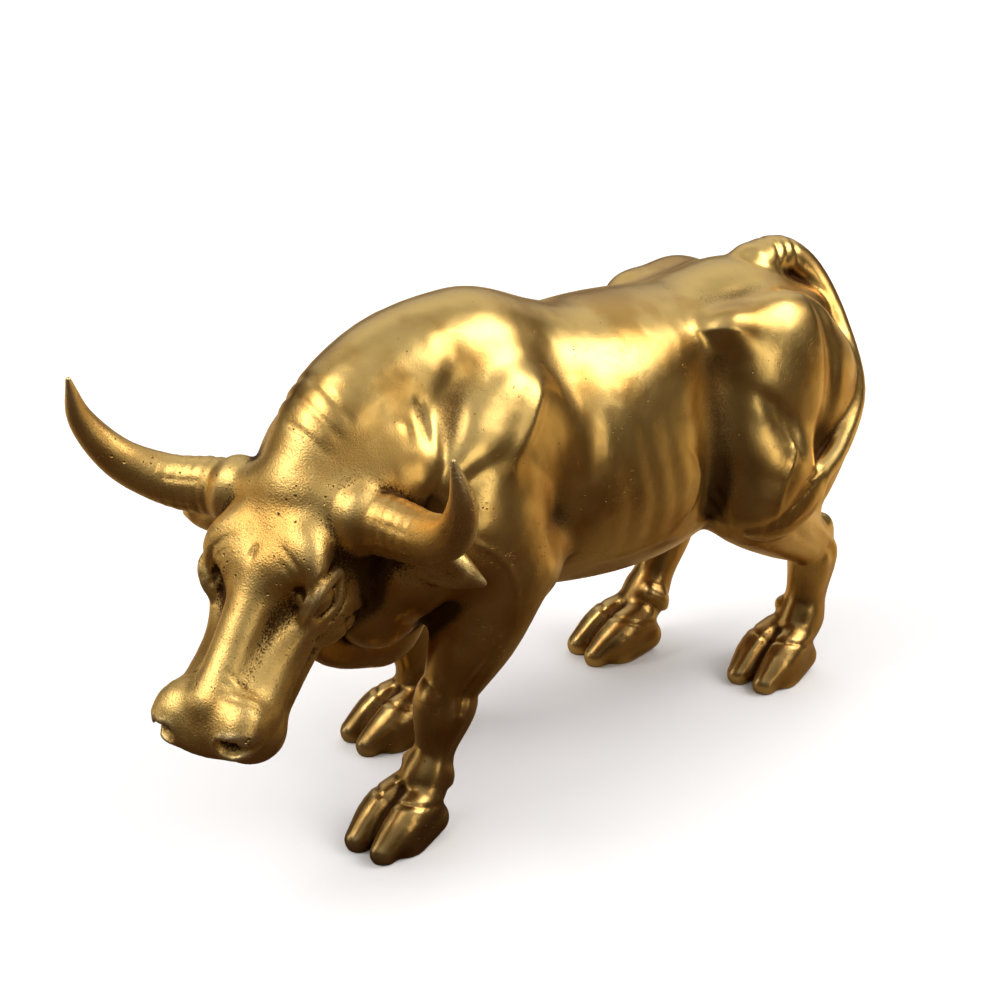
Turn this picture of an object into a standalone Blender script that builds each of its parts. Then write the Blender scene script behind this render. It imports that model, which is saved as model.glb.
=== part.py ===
"""A cast-metal desk figure of a bull, walking with its head low. Metres, +Z up.

The figure is one solid, as it was cast. It is modelled in clay first: a grid of distances to the
surface, to which masses and limbs are added and from which creases and hollows are cut. Geometry
Nodes then turn the clay into a mesh, whose hooves are cut off flat at the floor. Forms are drawn
in units of about a millimetre, with the muzzle towards -Y, the bull's left at +X and the floor at
Z = 0, and the finished figure is brought to FIGURE_LENGTH.
"""

import math
from dataclasses import dataclass, fields

import bpy
import numpy as np
from mathutils import Matrix, Vector

FIGURE_LENGTH = 0.150      # muzzle to tail, m
CLAY_CELL = 0.95           # grid step of the clay, drawn units
SOLID_TRIANGLES = 8800     # faces left on the solid after it is thinned
CLAY_LOW = (-34.0, -102.0, -5.0)
CLAY_HIGH = (48.0, 76.0, 98.0)

GOLD_COLOUR = (0.62, 0.42, 0.16, 1.0)
GOLD_ROUGHNESS = 0.32

LEFT, RIGHT = 1, -1
SIDES = (LEFT, RIGHT)


def turned(x=0.0, y=0.0, z=0.0):
    """Rotation matrix for turns about X, then Y, then Z, in degrees."""
    turns = [Matrix.Rotation(math.radians(angle), 3, axis) for angle, axis in ((x, "X"), (y, "Y"), (z, "Z"))]
    return turns[2] @ turns[1] @ turns[0]


def smooth_path(points, radii, steps):
    """Points and radii of a curve through the given points, with steps pieces to each span."""
    knots = np.column_stack([np.array([tuple(point) for point in points], float), radii])
    knots = np.vstack([2 * knots[0] - knots[1], knots, 2 * knots[-1] - knots[-2]])
    rows = []
    for before, start, end, after in zip(knots, knots[1:], knots[2:], knots[3:]):
        for t in np.arange(steps) / steps:
            bend = 2 * before - 5 * start + 4 * end - after
            rows.append(0.5 * (2 * start + (end - before) * t + bend * t**2
                               + (3 * start - before - 3 * end + after) * t**3))
    rows.append(knots[-2])
    rows = np.array(rows)
    return rows[:, :3], rows[:, 3]


class Clay:
    """A grid of distances to the surface: below zero inside the clay, above zero outside."""

    FAR = 50.0
    LEAST_MELT = 1e-6
    MARGIN = 2.0
    GROOVE_REACH = 2.5
    TAPER = 0.6

    def __init__(self, low, high, cell):
        self.low = np.array(low, np.float32)
        self.cell = float(cell)
        self.counts = np.ceil((np.array(high) - self.low) / cell).astype(int) + 1
        self.axes = [(self.low[i] + cell * np.arange(self.counts[i])).astype(np.float32) for i in range(3)]
        self.field = np.full(self.counts, self.FAR, np.float32)

    def window(self, low, high):
        """The slices of the grid between two corners."""
        first = np.floor((np.array(low) - self.low) / self.cell).astype(int)
        last = np.ceil((np.array(high) - self.low) / self.cell).astype(int) + 1
        return tuple(slice(a, b) for a,
                     b in zip(np.clip(first, 0, self.counts), np.clip(last, 0, self.counts)))

    def offsets(self, cut, centre):
        """X, Y and Z from a centre, over a window of the grid."""
        x, y, z = (axis[part] - at for axis, part, at in zip(self.axes, cut, centre))
        return x[:, None, None], y[None, :, None], z[None, None, :]

    def add(self, cut, distance, melt):
        """Joins a shape on, melting into what is there."""
        old = self.field[cut]
        share = np.clip(0.5 + 0.5 * (distance - old) / max(melt, self.LEAST_MELT), 0, 1)
        self.field[cut] = distance + (old - distance) * share - melt * share * (1 - share)

    def cut_out(self, cut, distance, melt):
        """Takes a shape away, with an edge as soft as melt."""
        old = self.field[cut]
        share = np.clip(0.5 - 0.5 * (-distance - old) / max(melt, self.LEAST_MELT), 0, 1)
        self.field[cut] = -distance + (old + distance) * share + melt * share * (1 - share)

    def egg(self, centre, radii, turn, margin):
        """Window and distances of an ellipsoid."""
        radii = np.array(radii, float)
        spin = np.array(turn, float)
        reach = np.sqrt(spin**2 @ radii**2) + margin
        cut = self.window(np.array(centre) - reach, np.array(centre) + reach)
        x, y, z = self.offsets(cut, centre)
        near = 0.0
        far = 0.0
        for k in range(3):
            along = x * spin[0, k] + y * spin[1, k] + z * spin[2, k]
            near = near + (along / radii[k]) ** 2
            far = far + (along / radii[k] ** 2) ** 2
        near = np.sqrt(near)
        return cut, near * (near - 1) / (np.sqrt(far) + self.LEAST_MELT)

    def rope(self, points, radii, margin, widen=(1, 1, 1)):
        """Window, distances to a tapering rope through points, and how far along it each is."""
        reach = (max(radii) + margin) * max(widen)
        cut = self.window(np.min(points, axis=0) - reach, np.max(points, axis=0) + reach)
        widen = np.array(widen, float)
        x, y, z = (part / wide for part, wide in zip(self.offsets(cut, (0, 0, 0)), widen))
        best = None
        spans = len(points) - 1
        for k in range(spans):
            start = points[k] / widen
            way = points[k + 1] / widen - start
            square = max(way @ way, self.LEAST_MELT)
            growth = radii[k + 1] - radii[k]
            dx, dy, dz = x - start[0], y - start[1], z - start[2]
            share = (dx * way[0] + dy * way[1] + dz * way[2]) / square
            if self.LEAST_MELT < growth**2 < 0.98 * square:
                aside = np.sqrt(np.maximum(dx**2 + dy**2 + dz**2 - share**2 * square, 0))
                share = share + aside * (growth / math.sqrt(square * (square - growth**2)))
            share = np.clip(share, 0, 1)
            gap = np.sqrt((dx - share * way[0]) ** 2 + (dy - share * way[1]) ** 2
                          + (dz - share * way[2]) ** 2)
            gap = gap - (radii[k] + share * growth)
            if best is None:
                best, place = gap, (k + share) / spans
            else:
                place = np.where(gap < best, (k + share) / spans, place)
                best = np.minimum(gap, best)
        return cut, best, place

    def score(self, points, width, depth, taper):
        """Sinks the surface along a line, or raises it where depth is below zero."""
        reach = self.GROOVE_REACH * width
        cut, distance, along = self.rope(points, np.zeros(len(points)), reach)
        shape = np.exp(-((distance / width) ** 2)) * depth
        if taper:
            shape = shape * np.maximum(np.sin(np.pi * along), 0) ** self.TAPER
        self.field[cut] += shape


@dataclass(frozen=True)
class Frame:
    """Where a part of the figure is drawn: its origin, turn and scale."""

    origin: tuple = (0, 0, 0)
    turn: tuple = (0, 0, 0)
    scale: float = 1.0

    def at(self, point, side=LEFT):
        """A drawn point in the figure, mirrored for the right side."""
        x, y, z = point
        local = turned(*self.turn) @ Vector((side * x, y, z))
        return np.array(local * self.scale + Vector(self.origin))

    def spin(self, turn, side=LEFT):
        """A drawn turn in the figure, mirrored for the right side."""
        x, y, z = turn
        return turned(*self.turn) @ turned(x, side * y, side * z)


FIGURE = Frame()


@dataclass(frozen=True)
class Mass:
    """An egg of clay put on."""

    at: tuple
    size: tuple
    melt: float = 2.5
    turn: tuple = (0, 0, 0)
    paired: bool = False

    def shape(self, clay, frame, side):
        """Window and distances of the egg in a frame."""
        size = [radius * frame.scale for radius in self.size]
        return clay.egg(frame.at(self.at, side), size, frame.spin(self.turn, side), self.melt + clay.MARGIN)

    def put(self, clay, frame, side):
        """Adds the egg."""
        cut, distance = self.shape(clay, frame, side)
        clay.add(cut, distance, self.melt)


@dataclass(frozen=True)
class Hollow(Mass):
    """An egg of clay taken away."""

    def put(self, clay, frame, side):
        """Cuts the egg out."""
        cut, distance = self.shape(clay, frame, side)
        clay.cut_out(cut, distance, self.melt)


@dataclass(frozen=True)
class Limb:
    """A tapering rope of clay along a smooth path."""

    path: tuple
    radii: tuple
    melt: float = 2.5
    widen: tuple = (1, 1, 1)
    paired: bool = False
    STEPS = 5

    def put(self, clay, frame, side):
        """Adds the rope."""
        path = [frame.at(point, side) for point in self.path]
        points, radii = smooth_path(path, [radius * frame.scale for radius in self.radii], self.STEPS)
        cut, distance, _ = clay.rope(points, radii, self.melt + clay.MARGIN, self.widen)
        clay.add(cut, distance, self.melt)


@dataclass(frozen=True)
class Crease:
    """A groove scored along a smooth path, or a ridge where depth is below zero."""

    path: tuple
    width: float
    depth: float
    taper: bool = True
    paired: bool = False
    STEPS = 4

    def put(self, clay, frame, side):
        """Scores the line."""
        path = [frame.at(point, side) for point in self.path]
        points, _ = smooth_path(path, [self.width] * len(path), self.STEPS)
        clay.score(points, self.width, self.depth, self.taper)


class Form:
    """A part of the figure, made of strokes of clay in the order of its fields."""

    def sculpt(self, clay, frame=FIGURE, sides=SIDES):
        """Puts every stroke on the clay, the paired ones once for each side."""
        for field in fields(self):
            value = getattr(self, field.name)
            for stroke in value if isinstance(value, tuple) else (value,):
                for side in sides if stroke.paired else (LEFT,):
                    stroke.put(clay, frame, side)


@dataclass(frozen=True)
class Torso(Form):
    """Barrel, back, belly and rump."""

    rib_cage: Mass = Mass((0, 2, 56.5), (21.5, 36, 25), 4)
    chest: Mass = Mass((0, -30, 56), (18.5, 18, 23), 6)
    belly: Mass = Mass((0, 17, 50.5), (20, 28, 20), 6)
    loin: Mass = Mass((0, 22, 69), (14, 32, 11.5), 7)
    rump: Mass = Mass((0, 44, 63.5), (16, 18.5, 18), 6)
    withers: Mass = Mass((0, -20, 75.5), (11, 20, 13), 8)
    hip_bone: Mass = Mass((13.5, 32, 74), (3.8, 5.5, 4.5), 5, paired=True)
    pin_bone: Mass = Mass((6.5, 58, 69), (4.5, 4.5, 5), 5, paired=True)
    sheath: Limb = Limb(((0, 6, 33), (0, 17, 31), (0, 25, 31)), (3.2, 3.2, 2.0), 3)
    scrotum: Mass = Mass((0, 43, 37), (4.6, 4.6, 6.6), 2)
    scrotum_neck: Limb = Limb(((0, 43, 48), (0, 43, 40)), (4.5, 3.5), 2)


@dataclass(frozen=True)
class Neck(Form):
    """Crest, throat, neck muscles and dewlap, bending to the bull's left."""

    crest: Limb = Limb(((0, -20, 76), (0.3, -34, 76.5), (2, -46, 73), (4.4, -55, 66.5)),
                       (12, 11.5, 10, 7.6), 6)
    throat: Limb = Limb(((0, -28, 58), (1, -40, 58.5), (3, -50, 58), (5, -57, 57.5)), (18, 15.5, 12.2, 10), 6)
    left_side: Limb = Limb(((12, -30, 66), (10.5, -43, 65.5), (9.4, -53, 62)), (9, 8.5, 6.5), 5)
    right_side: Limb = Limb(((-12, -30, 66), (-8.5, -43, 65.5), (-2.6, -53, 62)), (9, 8.5, 6.5), 5)
    left_cord: Limb = Limb(((10, -38, 49), (8.5, -47, 52), (8, -54, 54)), (5, 4.5, 4), 2.5)
    right_cord: Limb = Limb(((-10, -38, 49), (-6.5, -47, 52), (-2, -54, 54)), (5, 4.5, 4), 2.5)
    dewlap: Limb = Limb(((3.6, -55, 49), (2.6, -52, 42), (1, -46, 36.5), (0, -37, 33.5)),
                        (4.5, 6.5, 8, 8.5), 4, widen=(0.5, 1, 1))


@dataclass(frozen=True)
class Shoulder(Form):
    """Blade, upper arm and breast muscles of one foreleg."""

    blade: Mass = Mass((14.0, -21, 64), (6.2, 10.5, 15.5), 5.5, (-26, 0, 0), True)
    upper_arm: Mass = Mass((17.6, -27, 54), (7, 12.5, 12.5), 2.5, paired=True)
    point: Mass = Mass((14.5, -40, 51), (7, 6.5, 9), 3, paired=True)
    breast: Mass = Mass((7.2, -42, 43), (7.0, 8.5, 9.0), 4.5, paired=True)
    triceps: Mass = Mass((16, -16, 46), (5.5, 7, 8), 2.5, paired=True)


@dataclass(frozen=True)
class Haunch(Form):
    """Thigh and buttock of one hind leg."""

    thigh: Mass = Mass((13.5, 43, 59), (9.5, 17, 20), 3.5, paired=True)
    buttock: Limb = Limb(((11.5, 53, 61), (12.5, 54.5, 50), (13.2, 53, 41), (13.6, 51, 34)),
                         (9.5, 8.2, 6.0, 3.6), 3,
                         paired=True)
    fore_thigh: Mass = Mass((14, 34, 50), (8.5, 10, 15), 2.5, paired=True)


@dataclass(frozen=True)
class Hoof(Form):
    """A cloven hoof, toe towards -Y, drawn about the middle of its sole."""

    wall: Limb = Limb(((2.2, 2.2, 6.8), (2.8, -2.6, 4.8), (3.0, -8.2, 1.5)), (3.6, 3.9, 2.5), 1.0,
                      paired=True)
    heel: Limb = Limb(((2.7, 3.6, 3.0), (3.1, -3.2, 1.8)), (3.2, 3.8), 1.0, paired=True)
    dewclaw: Limb = Limb(((2.6, 4.6, 12.0), (3.0, 6.6, 10.6), (3.2, 7.6, 8.4)), (1.7, 1.8, 0.9), 0.8,
                         paired=True)
    cleft: Crease = Crease(((0, -1.0, 9.6), (0, -4.4, 7.4), (0, -9.0, 3.6), (0, -11.0, 0)), 0.8, 1.7,
                           taper=False)
    heel_cleft: Crease = Crease(((0, 7.4, 0), (0, 7.2, 3), (0, 6.2, 6)), 0.9, 1.3, taper=False)


@dataclass(frozen=True)
class Leg:
    """The shaft of a leg down to the pastern, and where its hoof stands."""

    side: int
    path: tuple
    radii: tuple
    sole: tuple
    muscles: Form
    lean: float = 0.0
    heel_bone: bool = False
    TOE_OUT = 8.0
    SHAFT_MELT = 3.0
    TENDON_WIDTH = 1.3
    TENDON_OUT = 0.92
    BELLY_MELT = 0.9
    BELLY_OUT = 1.06
    BELLY_TURNS = (-48, 42, 118)
    BELLY_SIZES = (0.50, 0.56, 0.34)
    HEEL_BONE_WAY = (0, 3.6, 2.2)
    HEEL_BONE_RADII = (3.2, 2.4)

    def tendon(self, first, last, back, depth):
        """A crease down the outside of the shaft, a share of its radius towards the back."""
        path = tuple((self.side * (abs(x) + self.TENDON_OUT * radius), y + back * radius, z)
                     for (x, y, z), radius in zip(self.path[first:last + 1], self.radii[first:last + 1]))
        return Crease(path, self.TENDON_WIDTH, depth)

    def belly(self, turn, first):
        """A long muscle down the shaft: a turn of 0 degrees is outside and 90 behind."""
        a = math.radians(turn)
        path = []
        radii = []
        for (x, y, z), radius, size in zip(self.path[first:], self.radii[first:], self.BELLY_SIZES):
            out = (self.BELLY_OUT - size) * radius
            path.append((x + self.side * out * math.cos(a), y + out * math.sin(a), z))
            radii.append(size * radius)
        return Limb(tuple(path), tuple(radii), self.BELLY_MELT)

    def sculpt(self, clay):
        """Puts the muscles, shaft, heel bone, tendons and hoof on the clay."""
        self.muscles.sculpt(clay, Frame(origin=(0, self.lean, 0)), (self.side,))
        Limb(self.path, self.radii, self.SHAFT_MELT).put(clay, FIGURE, LEFT)
        for turn in self.BELLY_TURNS:
            self.belly(turn, 1 if self.heel_bone else 0).put(clay, FIGURE, LEFT)
        if self.heel_bone:
            hock = self.path[3]
            heel = tuple(at + way for at, way in zip(hock, self.HEEL_BONE_WAY))
            Limb((hock, heel), self.HEEL_BONE_RADII, 2).put(clay, FIGURE, LEFT)
            self.tendon(2, 4, 0.35, 0.7).put(clay, FIGURE, LEFT)
        else:
            self.tendon(1, 3, -0.15, 0.5).put(clay, FIGURE, LEFT)
        self.tendon(3, 5, 0.3, 0.5).put(clay, FIGURE, LEFT)
        Hoof().sculpt(clay, Frame(origin=(*self.sole, 0), turn=(0, 0, self.side * self.TOE_OUT)))


FORE_RADII = (9.6, 7.6, 5.0, 5.5, 3.7, 4.5, 3.9)
HIND_RADII = (11.0, 9.2, 7.0, 4.8, 4.9, 3.9, 4.6, 4.0)
LEGS = (
    Leg(LEFT, ((15, -24, 46), (15.3, -29, 35.5), (14.6, -33.5, 26.5), (14.3, -35, 22.5), (14.2, -37, 15),
               (14.2, -39.5, 9.8), (14.2, -42, 6)), FORE_RADII, (14.2, -44), Shoulder(), lean=-1.5),
    Leg(RIGHT,
        ((-15, -22, 46), (-15.3, -21.5, 35.5), (-14.5, -21.5, 26.5), (-14.3, -21.5, 23), (-14.2, -20, 15),
                (-14.2, -18.8, 9.8), (-14.2, -21, 6)), FORE_RADII, (-14.2, -23.5), Shoulder()),
    Leg(LEFT, ((15, 38, 48), (16, 35.5, 42), (14.8, 44, 34), (13.8, 54, 26.5), (13.6, 56, 23), (13.5, 55, 15),
               (13.5, 53.5, 9.8), (13.5, 50.5, 6)), HIND_RADII, (13.5, 48), Haunch(), heel_bone=True),
    Leg(RIGHT, ((-15, 34, 48), (-15.6, 29, 42), (-14.6, 34.5, 33.5), (-13.6, 42, 26), (-13.5, 43.5, 23),
                (-13.4, 40, 15), (-13.4, 37, 9.8), (-13.4, 34, 6)), HIND_RADII, (-13.4, 31.5), Haunch(),
        lean=-1.0, heel_bone=True),
)


def neck_fold(j):
    """The j-th skin fold down the side of the neck, nearer the head each time."""
    x = 10 + 1.2 * (j + 1)
    y = -42 - 3.8 * j
    return Crease(((x, y + 5, 79 - 3.0 * j), (x + 6 - j, y + 2, 69 - 2.2 * j),
                   (x + 5 - j, y + 0.5, 60 - 1.5 * j), (x, y, 51 - 0.5 * j)), 1.0, 0.75, paired=True)


def rib(j):
    """The j-th gap between ribs, further back each time."""
    y = -1 + 5.2 * j
    return Crease(((19, y - 1, 72), (22.5, y + 0.5, 61), (22, y + 2.5, 49), (17, y + 3, 39)), 1.6, 0.28,
                  paired=True)


@dataclass(frozen=True)
class Muscles(Form):
    """Creases that part the muscles of the trunk and thighs."""

    behind_shoulder: Crease = Crease(((15, -6, 80), (20.5, -6, 70), (23, -8, 60), (23.2, -11, 48),
                                      (19, -12, 38)), 2.4, 1.9, paired=True)
    flank: Crease = Crease(((15, 27, 76), (20.5, 23, 66), (20.5, 23, 54), (17, 25, 40)), 4.2, 2.4,
                           paired=True)
    over_arm: Crease = Crease(((20.5, -41, 56), (22, -36, 65), (23, -27, 68.5), (23.5, -17, 65),
                               (23.5, -12, 56)), 1.7, 1.3, paired=True)
    neck_line: Crease = Crease(((9, -27, 87), (15.5, -33, 76), (18, -40, 64), (17, -45, 56)), 2.2, 1.2,
                               paired=True)
    blade_ridge: Crease = Crease(((17.5, -14, 79), (20, -21, 71), (21.5, -27, 65)), 1.6, -0.7, paired=True)
    back_thigh: Crease = Crease(((15, 50, 78), (21, 50, 68), (23, 48, 56), (21, 42, 44)), 2.0, 1.2,
                                paired=True)
    buttock: Crease = Crease(((10, 62, 66), (17, 59, 56), (19, 53, 42)), 1.8, 0.9, paired=True)
    fore_thigh: Crease = Crease(((17, 31, 66), (22, 36, 60), (23.4, 40, 50), (22.6, 38, 42)), 1.6, 0.7,
                                paired=True)
    elbow: Crease = Crease(((21, -9, 46), (20.5, -13, 40), (19, -20, 36.5)), 1.0, 0.9, paired=True)
    neck_folds: tuple = tuple(neck_fold(j) for j in range(3))
    ribs: tuple = tuple(rib(j) for j in range(5))


MOUTH_LEFT = ((7.4, -19, -12.6), (6.6, -29, -12.6), (4.8, -35.0, -12.3))
MOUTH = MOUTH_LEFT + ((0, -36.9, -12.0),) + tuple((-x, y, z) for x, y, z in reversed(MOUTH_LEFT))


@dataclass(frozen=True)
class Head(Form):
    """The head, drawn level with its poll at the origin and its muzzle towards -Y."""

    skull: Mass = Mass((0, -8, -7.6), (8.8, 10.5, 7.6))
    forehead: Mass = Mass((0, -7.0, -2.9), (8.6, 8.0, 3.2), 2)
    forehead_boss: Mass = Mass((3.9, -8.6, -2.0), (3.7, 5.6, 2.5), 2, paired=True)
    poll: Limb = Limb(((-8.8, -1.4, -4.0), (0, -1.0, -1.9), (8.8, -1.4, -4.0)), (3.2, 3.9, 3.2), 1.2)
    nose: Limb = Limb(((0, -12, -4.4), (0, -18, -4.2), (0, -25, -4.8), (0, -31, -5.8)), (4.4, 3.3, 3.2, 4.0))
    cheek: Mass = Mass((5.6, -9.6, -12.4), (3.7, 8.2, 7), 2, paired=True)
    upper_jaw: Limb = Limb(((4.6, -12, -9.6), (3.4, -21, -9.3), (3.4, -28.6, -8.9)), (4.0, 3.9, 4.2), 2.2,
                           paired=True)
    muzzle: Mass = Mass((0, -31.4, -8.4), (7.8, 5.1, 5.8), 2.0)
    lower_jaw: Limb = Limb(((0, -8, -15.5), (0, -20, -15.8), (0, -30.5, -15.4)), (5.8, 4.6, 4.3), 2.2)
    chin: Mass = Mass((0, -30.6, -16.4), (5.2, 4.4, 3.5), 2.0)
    nose_pad: Limb = Limb(((-4.4, -34.4, -6.8), (0, -34.9, -6.6), (4.4, -34.4, -6.8)), (2.9, 3.0, 2.9), 1.8)
    nostril_wing: Mass = Mass((4.9, -33.0, -5.5), (3.3, 4.0, 3.0), 2.0, paired=True)
    brow: Limb = Limb(((4.8, -7.4, -1.3), (7.2, -9.6, -2.0), (8.4, -12.8, -3.8)), (1.4, 1.9, 1.3), 2.2,
                      paired=True)
    socket: Hollow = Hollow((9.6, -13.0, -6.5), (2.2, 4.0, 3.0), 1.2, paired=True)
    eye: Mass = Mass((6.5, -13.0, -6.5), (2.9, 2.9, 2.9), 0.3, paired=True)
    upper_lid: Limb = Limb(((6.1, -17.0, -7.3), (7.9, -15.6, -4.9), (9.0, -12.9, -3.9), (9.3, -9.2, -5.9)),
                           (0.6, 1.0, 1.1, 0.7), 0.6, paired=True)
    lower_lid: Limb = Limb(((6.1, -17.0, -7.3), (7.5, -15.3, -8.7), (8.7, -12.6, -9.2), (9.3, -9.2, -6.6)),
                           (0.6, 0.85, 0.9, 0.6), 0.6, paired=True)
    under_eye: Crease = Crease(((6.8, -17.4, -7.8), (8.0, -15.2, -10.4), (9.0, -11.6, -10.9),
                                (9.4, -8.1, -9.0)),
                               0.5, 0.6, paired=True)
    face_ridge: Limb = Limb(((6.9, -16.5, -7.6), (5.4, -21, -8.0), (4.8, -26, -8.0)), (1.3, 1.1, 0.6), 1.8,
                            paired=True)
    nostril: Hollow = Hollow((5.0, -37.0, -4.6), (1.9, 2.9, 1.6), 0.5, (-25, 20, -28), True)
    nostril_tail: Crease = Crease(((6.2, -36.6, -5.4), (7.6, -35.4, -6.4), (8.4, -33.4, -7.8)), 0.8, 1.5,
                                  paired=True)
    cheek_line: Crease = Crease(((6, -8, -18), (8.8, -14.5, -13.5), (7.2, -18.5, -10.5)), 1.2, 0.9,
                                paired=True)
    mouth: Crease = Crease(MOUTH, 0.95, 2.6, taper=False)
    lip_line: Crease = Crease(((0, -36.2, -11.2), (0, -37.1, -8.6), (0, -36, -5.8)), 0.7, 0.9)
    forehead_line: Crease = Crease(((0.2, -14.4, -1.2), (-0.1, -12.4, -0.2), (0.15, -10.2, 0.6)), 0.6, 0.5)


def ring(middle, radius, step=30):
    """A closed path round the X axis."""
    x, y, z = middle
    angles = [math.radians(angle) for angle in range(0, 361, step)]
    return tuple((x, y + radius * math.cos(a), z + radius * math.sin(a)) for a in angles)


@dataclass(frozen=True)
class Horn(Form):
    """A horn, drawn from its root: out to the side, then forward and up."""

    horn: Limb = Limb(((0, 0, 0), (7, 0.4, -0.6), (14, -1.4, -0.2), (21, -5, 3.5), (25, -9, 11),
                       (25, -11.5, 19)),
                      (5.2, 5.0, 4.3, 3.4, 2.2, 0.5), 1.0, paired=True)
    root_line: Crease = Crease(ring((4.6, 0.2, -0.4), 5.3), 0.7, 0.25, taper=False, paired=True)
    collar: Limb = Limb(ring((1.6, 0.2, -0.2), 4.3), (1.2,) * 13, 2.4, paired=True)


@dataclass(frozen=True)
class Ear(Form):
    """An ear, drawn from its root, with the shell open to the front."""

    shell: Limb = Limb(((0, 0, 0), (5.5, 0.6, 0.0), (11.5, 1.6, -1.6), (17, 3.2, -4.2)), (2.3, 4.2, 3.9, 0.7),
                       1.0, widen=(1, 0.62, 1), paired=True)
    opening: Crease = Crease(((3, -2.3, 0), (7, -2.0, -0.2), (11.5, -0.9, -1.6), (14.5, 0.3, -3.0)), 1.4, 1.7,
                             paired=True)


def tuft_strand(k):
    """The k-th parting of the tail's tuft."""
    return Crease(((25.8, 46, 46 + 1.0 * k), (26.5, 41, 43 + 1.5 * k), (26, 36, 39.6 + 1.3 * k),
                   (24, 31, 38.4 + 0.5 * k)), 0.5, 0.7)


@dataclass(frozen=True)
class Tail(Form):
    """The tail, which hangs across the left buttock and lies along the thigh."""

    stem: Limb = Limb(((0, 50, 78.5), (0, 57, 79.5), (2.8, 62, 75.5), (9.5, 62.8, 67.5), (18.0, 59.8, 57.5),
                       (22.6, 51.5, 49.5), (23.6, 44, 45)), (5, 3.9, 3.3, 2.8, 2.4, 2.2, 2.2), 1.2)
    tuft: Limb = Limb(((22.9, 47, 46), (23.6, 42, 42.5), (23.2, 36, 39.2), (22, 29.5, 38)),
                      (1.8, 3.7, 3.3, 0.6), 1.2,
                      widen=(0.8, 1, 1))
    strands: tuple = tuple(tuft_strand(k) for k in range(-2, 3))


HEAD_FRAME = Frame(origin=(5.4, -59.0, 68.5), turn=(42, 0, 22), scale=1.2)


def sculpt_bull(clay):
    """Builds the whole figure in clay, the large masses first."""
    Torso().sculpt(clay)
    Neck().sculpt(clay)
    for leg in LEGS:
        leg.sculpt(clay)
    Muscles().sculpt(clay)
    Head().sculpt(clay, HEAD_FRAME)
    level = (0, 0, HEAD_FRAME.turn[2])
    for side in SIDES:
        horn_root = tuple(HEAD_FRAME.at((8.8, -1.5, -5), side))
        ear_root = tuple(HEAD_FRAME.at((10.2, -2.0, -12.5), side))
        Horn().sculpt(clay, Frame(horn_root, level), (side,))
        Ear().sculpt(clay, Frame(ear_root, level), (side,))
    Tail().sculpt(clay)


def clay_nodes(clay):
    """Geometry nodes that fill a volume from the clay's grid and mesh its surface."""
    tree = bpy.data.node_groups.new("clay to mesh", "GeometryNodeTree")
    tree.interface.new_socket("Geometry", in_out="INPUT", socket_type="NodeSocketGeometry")
    tree.interface.new_socket("Geometry", in_out="OUTPUT", socket_type="NodeSocketGeometry")

    def node(kind, operation=None, **inputs):
        made = tree.nodes.new(kind)
        if operation:
            made.operation = operation
        for name, value in inputs.items():
            made.inputs[name.replace("_", " ")].default_value = value
        return made

    def link(source, target):
        tree.links.new(source, target)

    high = clay.low + clay.cell * (clay.counts - 1)
    grid = node("NodeGroupInput")
    place = node("GeometryNodeInputPosition")
    from_low = node("ShaderNodeVectorMath", "SUBTRACT")
    from_low.inputs[1].default_value = tuple(map(float, clay.low))
    in_cells = node("ShaderNodeVectorMath", "SCALE")
    in_cells.inputs["Scale"].default_value = 1.0 / clay.cell
    parts = node("ShaderNodeSeparateXYZ")
    link(place.outputs["Position"], from_low.inputs[0])
    link(from_low.outputs["Vector"], in_cells.inputs[0])
    link(in_cells.outputs["Vector"], parts.inputs[0])
    index = None
    for axis, count in zip("XYZ", clay.counts):
        whole = node("FunctionNodeFloatToInt")
        whole.rounding_mode = "ROUND"
        link(parts.outputs[axis], whole.inputs[0])
        if index is None:
            index = whole.outputs[0]
            continue
        rows = node("FunctionNodeIntegerMath", "MULTIPLY_ADD")
        rows.inputs[1].default_value = int(count)
        link(index, rows.inputs[0])
        link(whole.outputs[0], rows.inputs[2])
        index = rows.outputs[0]
    depth = node("GeometryNodeInputNamedAttribute", Name="depth")
    sample = node("GeometryNodeSampleIndex")
    link(grid.outputs[0], sample.inputs["Geometry"])
    link(depth.outputs["Attribute"], sample.inputs["Value"])
    link(index, sample.inputs["Index"])
    cube = node("GeometryNodeVolumeCube", Background=-clay.FAR, Min=tuple(map(float, clay.low)),
                Max=tuple(map(float, high)))
    for axis, count in zip("XYZ", clay.counts):
        cube.inputs["Resolution " + axis].default_value = int(count)
    surface = node("GeometryNodeVolumeToMesh", Threshold=0.0)
    link(sample.outputs["Value"], cube.inputs["Density"])
    link(cube.outputs["Volume"], surface.inputs["Volume"])
    link(surface.outputs["Mesh"], node("NodeGroupOutput").inputs[0])
    return tree


def cast(clay, name):
    """The clay's surface as a mesh object."""
    grid = bpy.data.meshes.new(name + "_grid")
    grid.vertices.add(clay.field.size)
    depth = grid.attributes.new("depth", "FLOAT", "POINT")
    depth.data.foreach_set("value", -clay.field.ravel())
    holder = bpy.data.objects.new(name + "_grid", grid)
    bpy.context.scene.collection.objects.link(holder)
    nodes = holder.modifiers.new("clay", "NODES")
    nodes.node_group = clay_nodes(clay)
    graph = bpy.context.evaluated_depsgraph_get()
    mesh = bpy.data.meshes.new_from_object(holder.evaluated_get(graph))
    mesh.name = name
    bpy.data.objects.remove(holder)
    bpy.data.meshes.remove(grid)
    return bpy.data.objects.new(name, mesh)


def bake(figure):
    """Turns the figure and its modifiers into a plain mesh."""
    graph = bpy.context.evaluated_depsgraph_get()
    full = figure.data
    figure.data = bpy.data.meshes.new_from_object(figure.evaluated_get(graph))
    figure.data.name = figure.name
    figure.modifiers.clear()
    bpy.data.meshes.remove(full)


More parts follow.
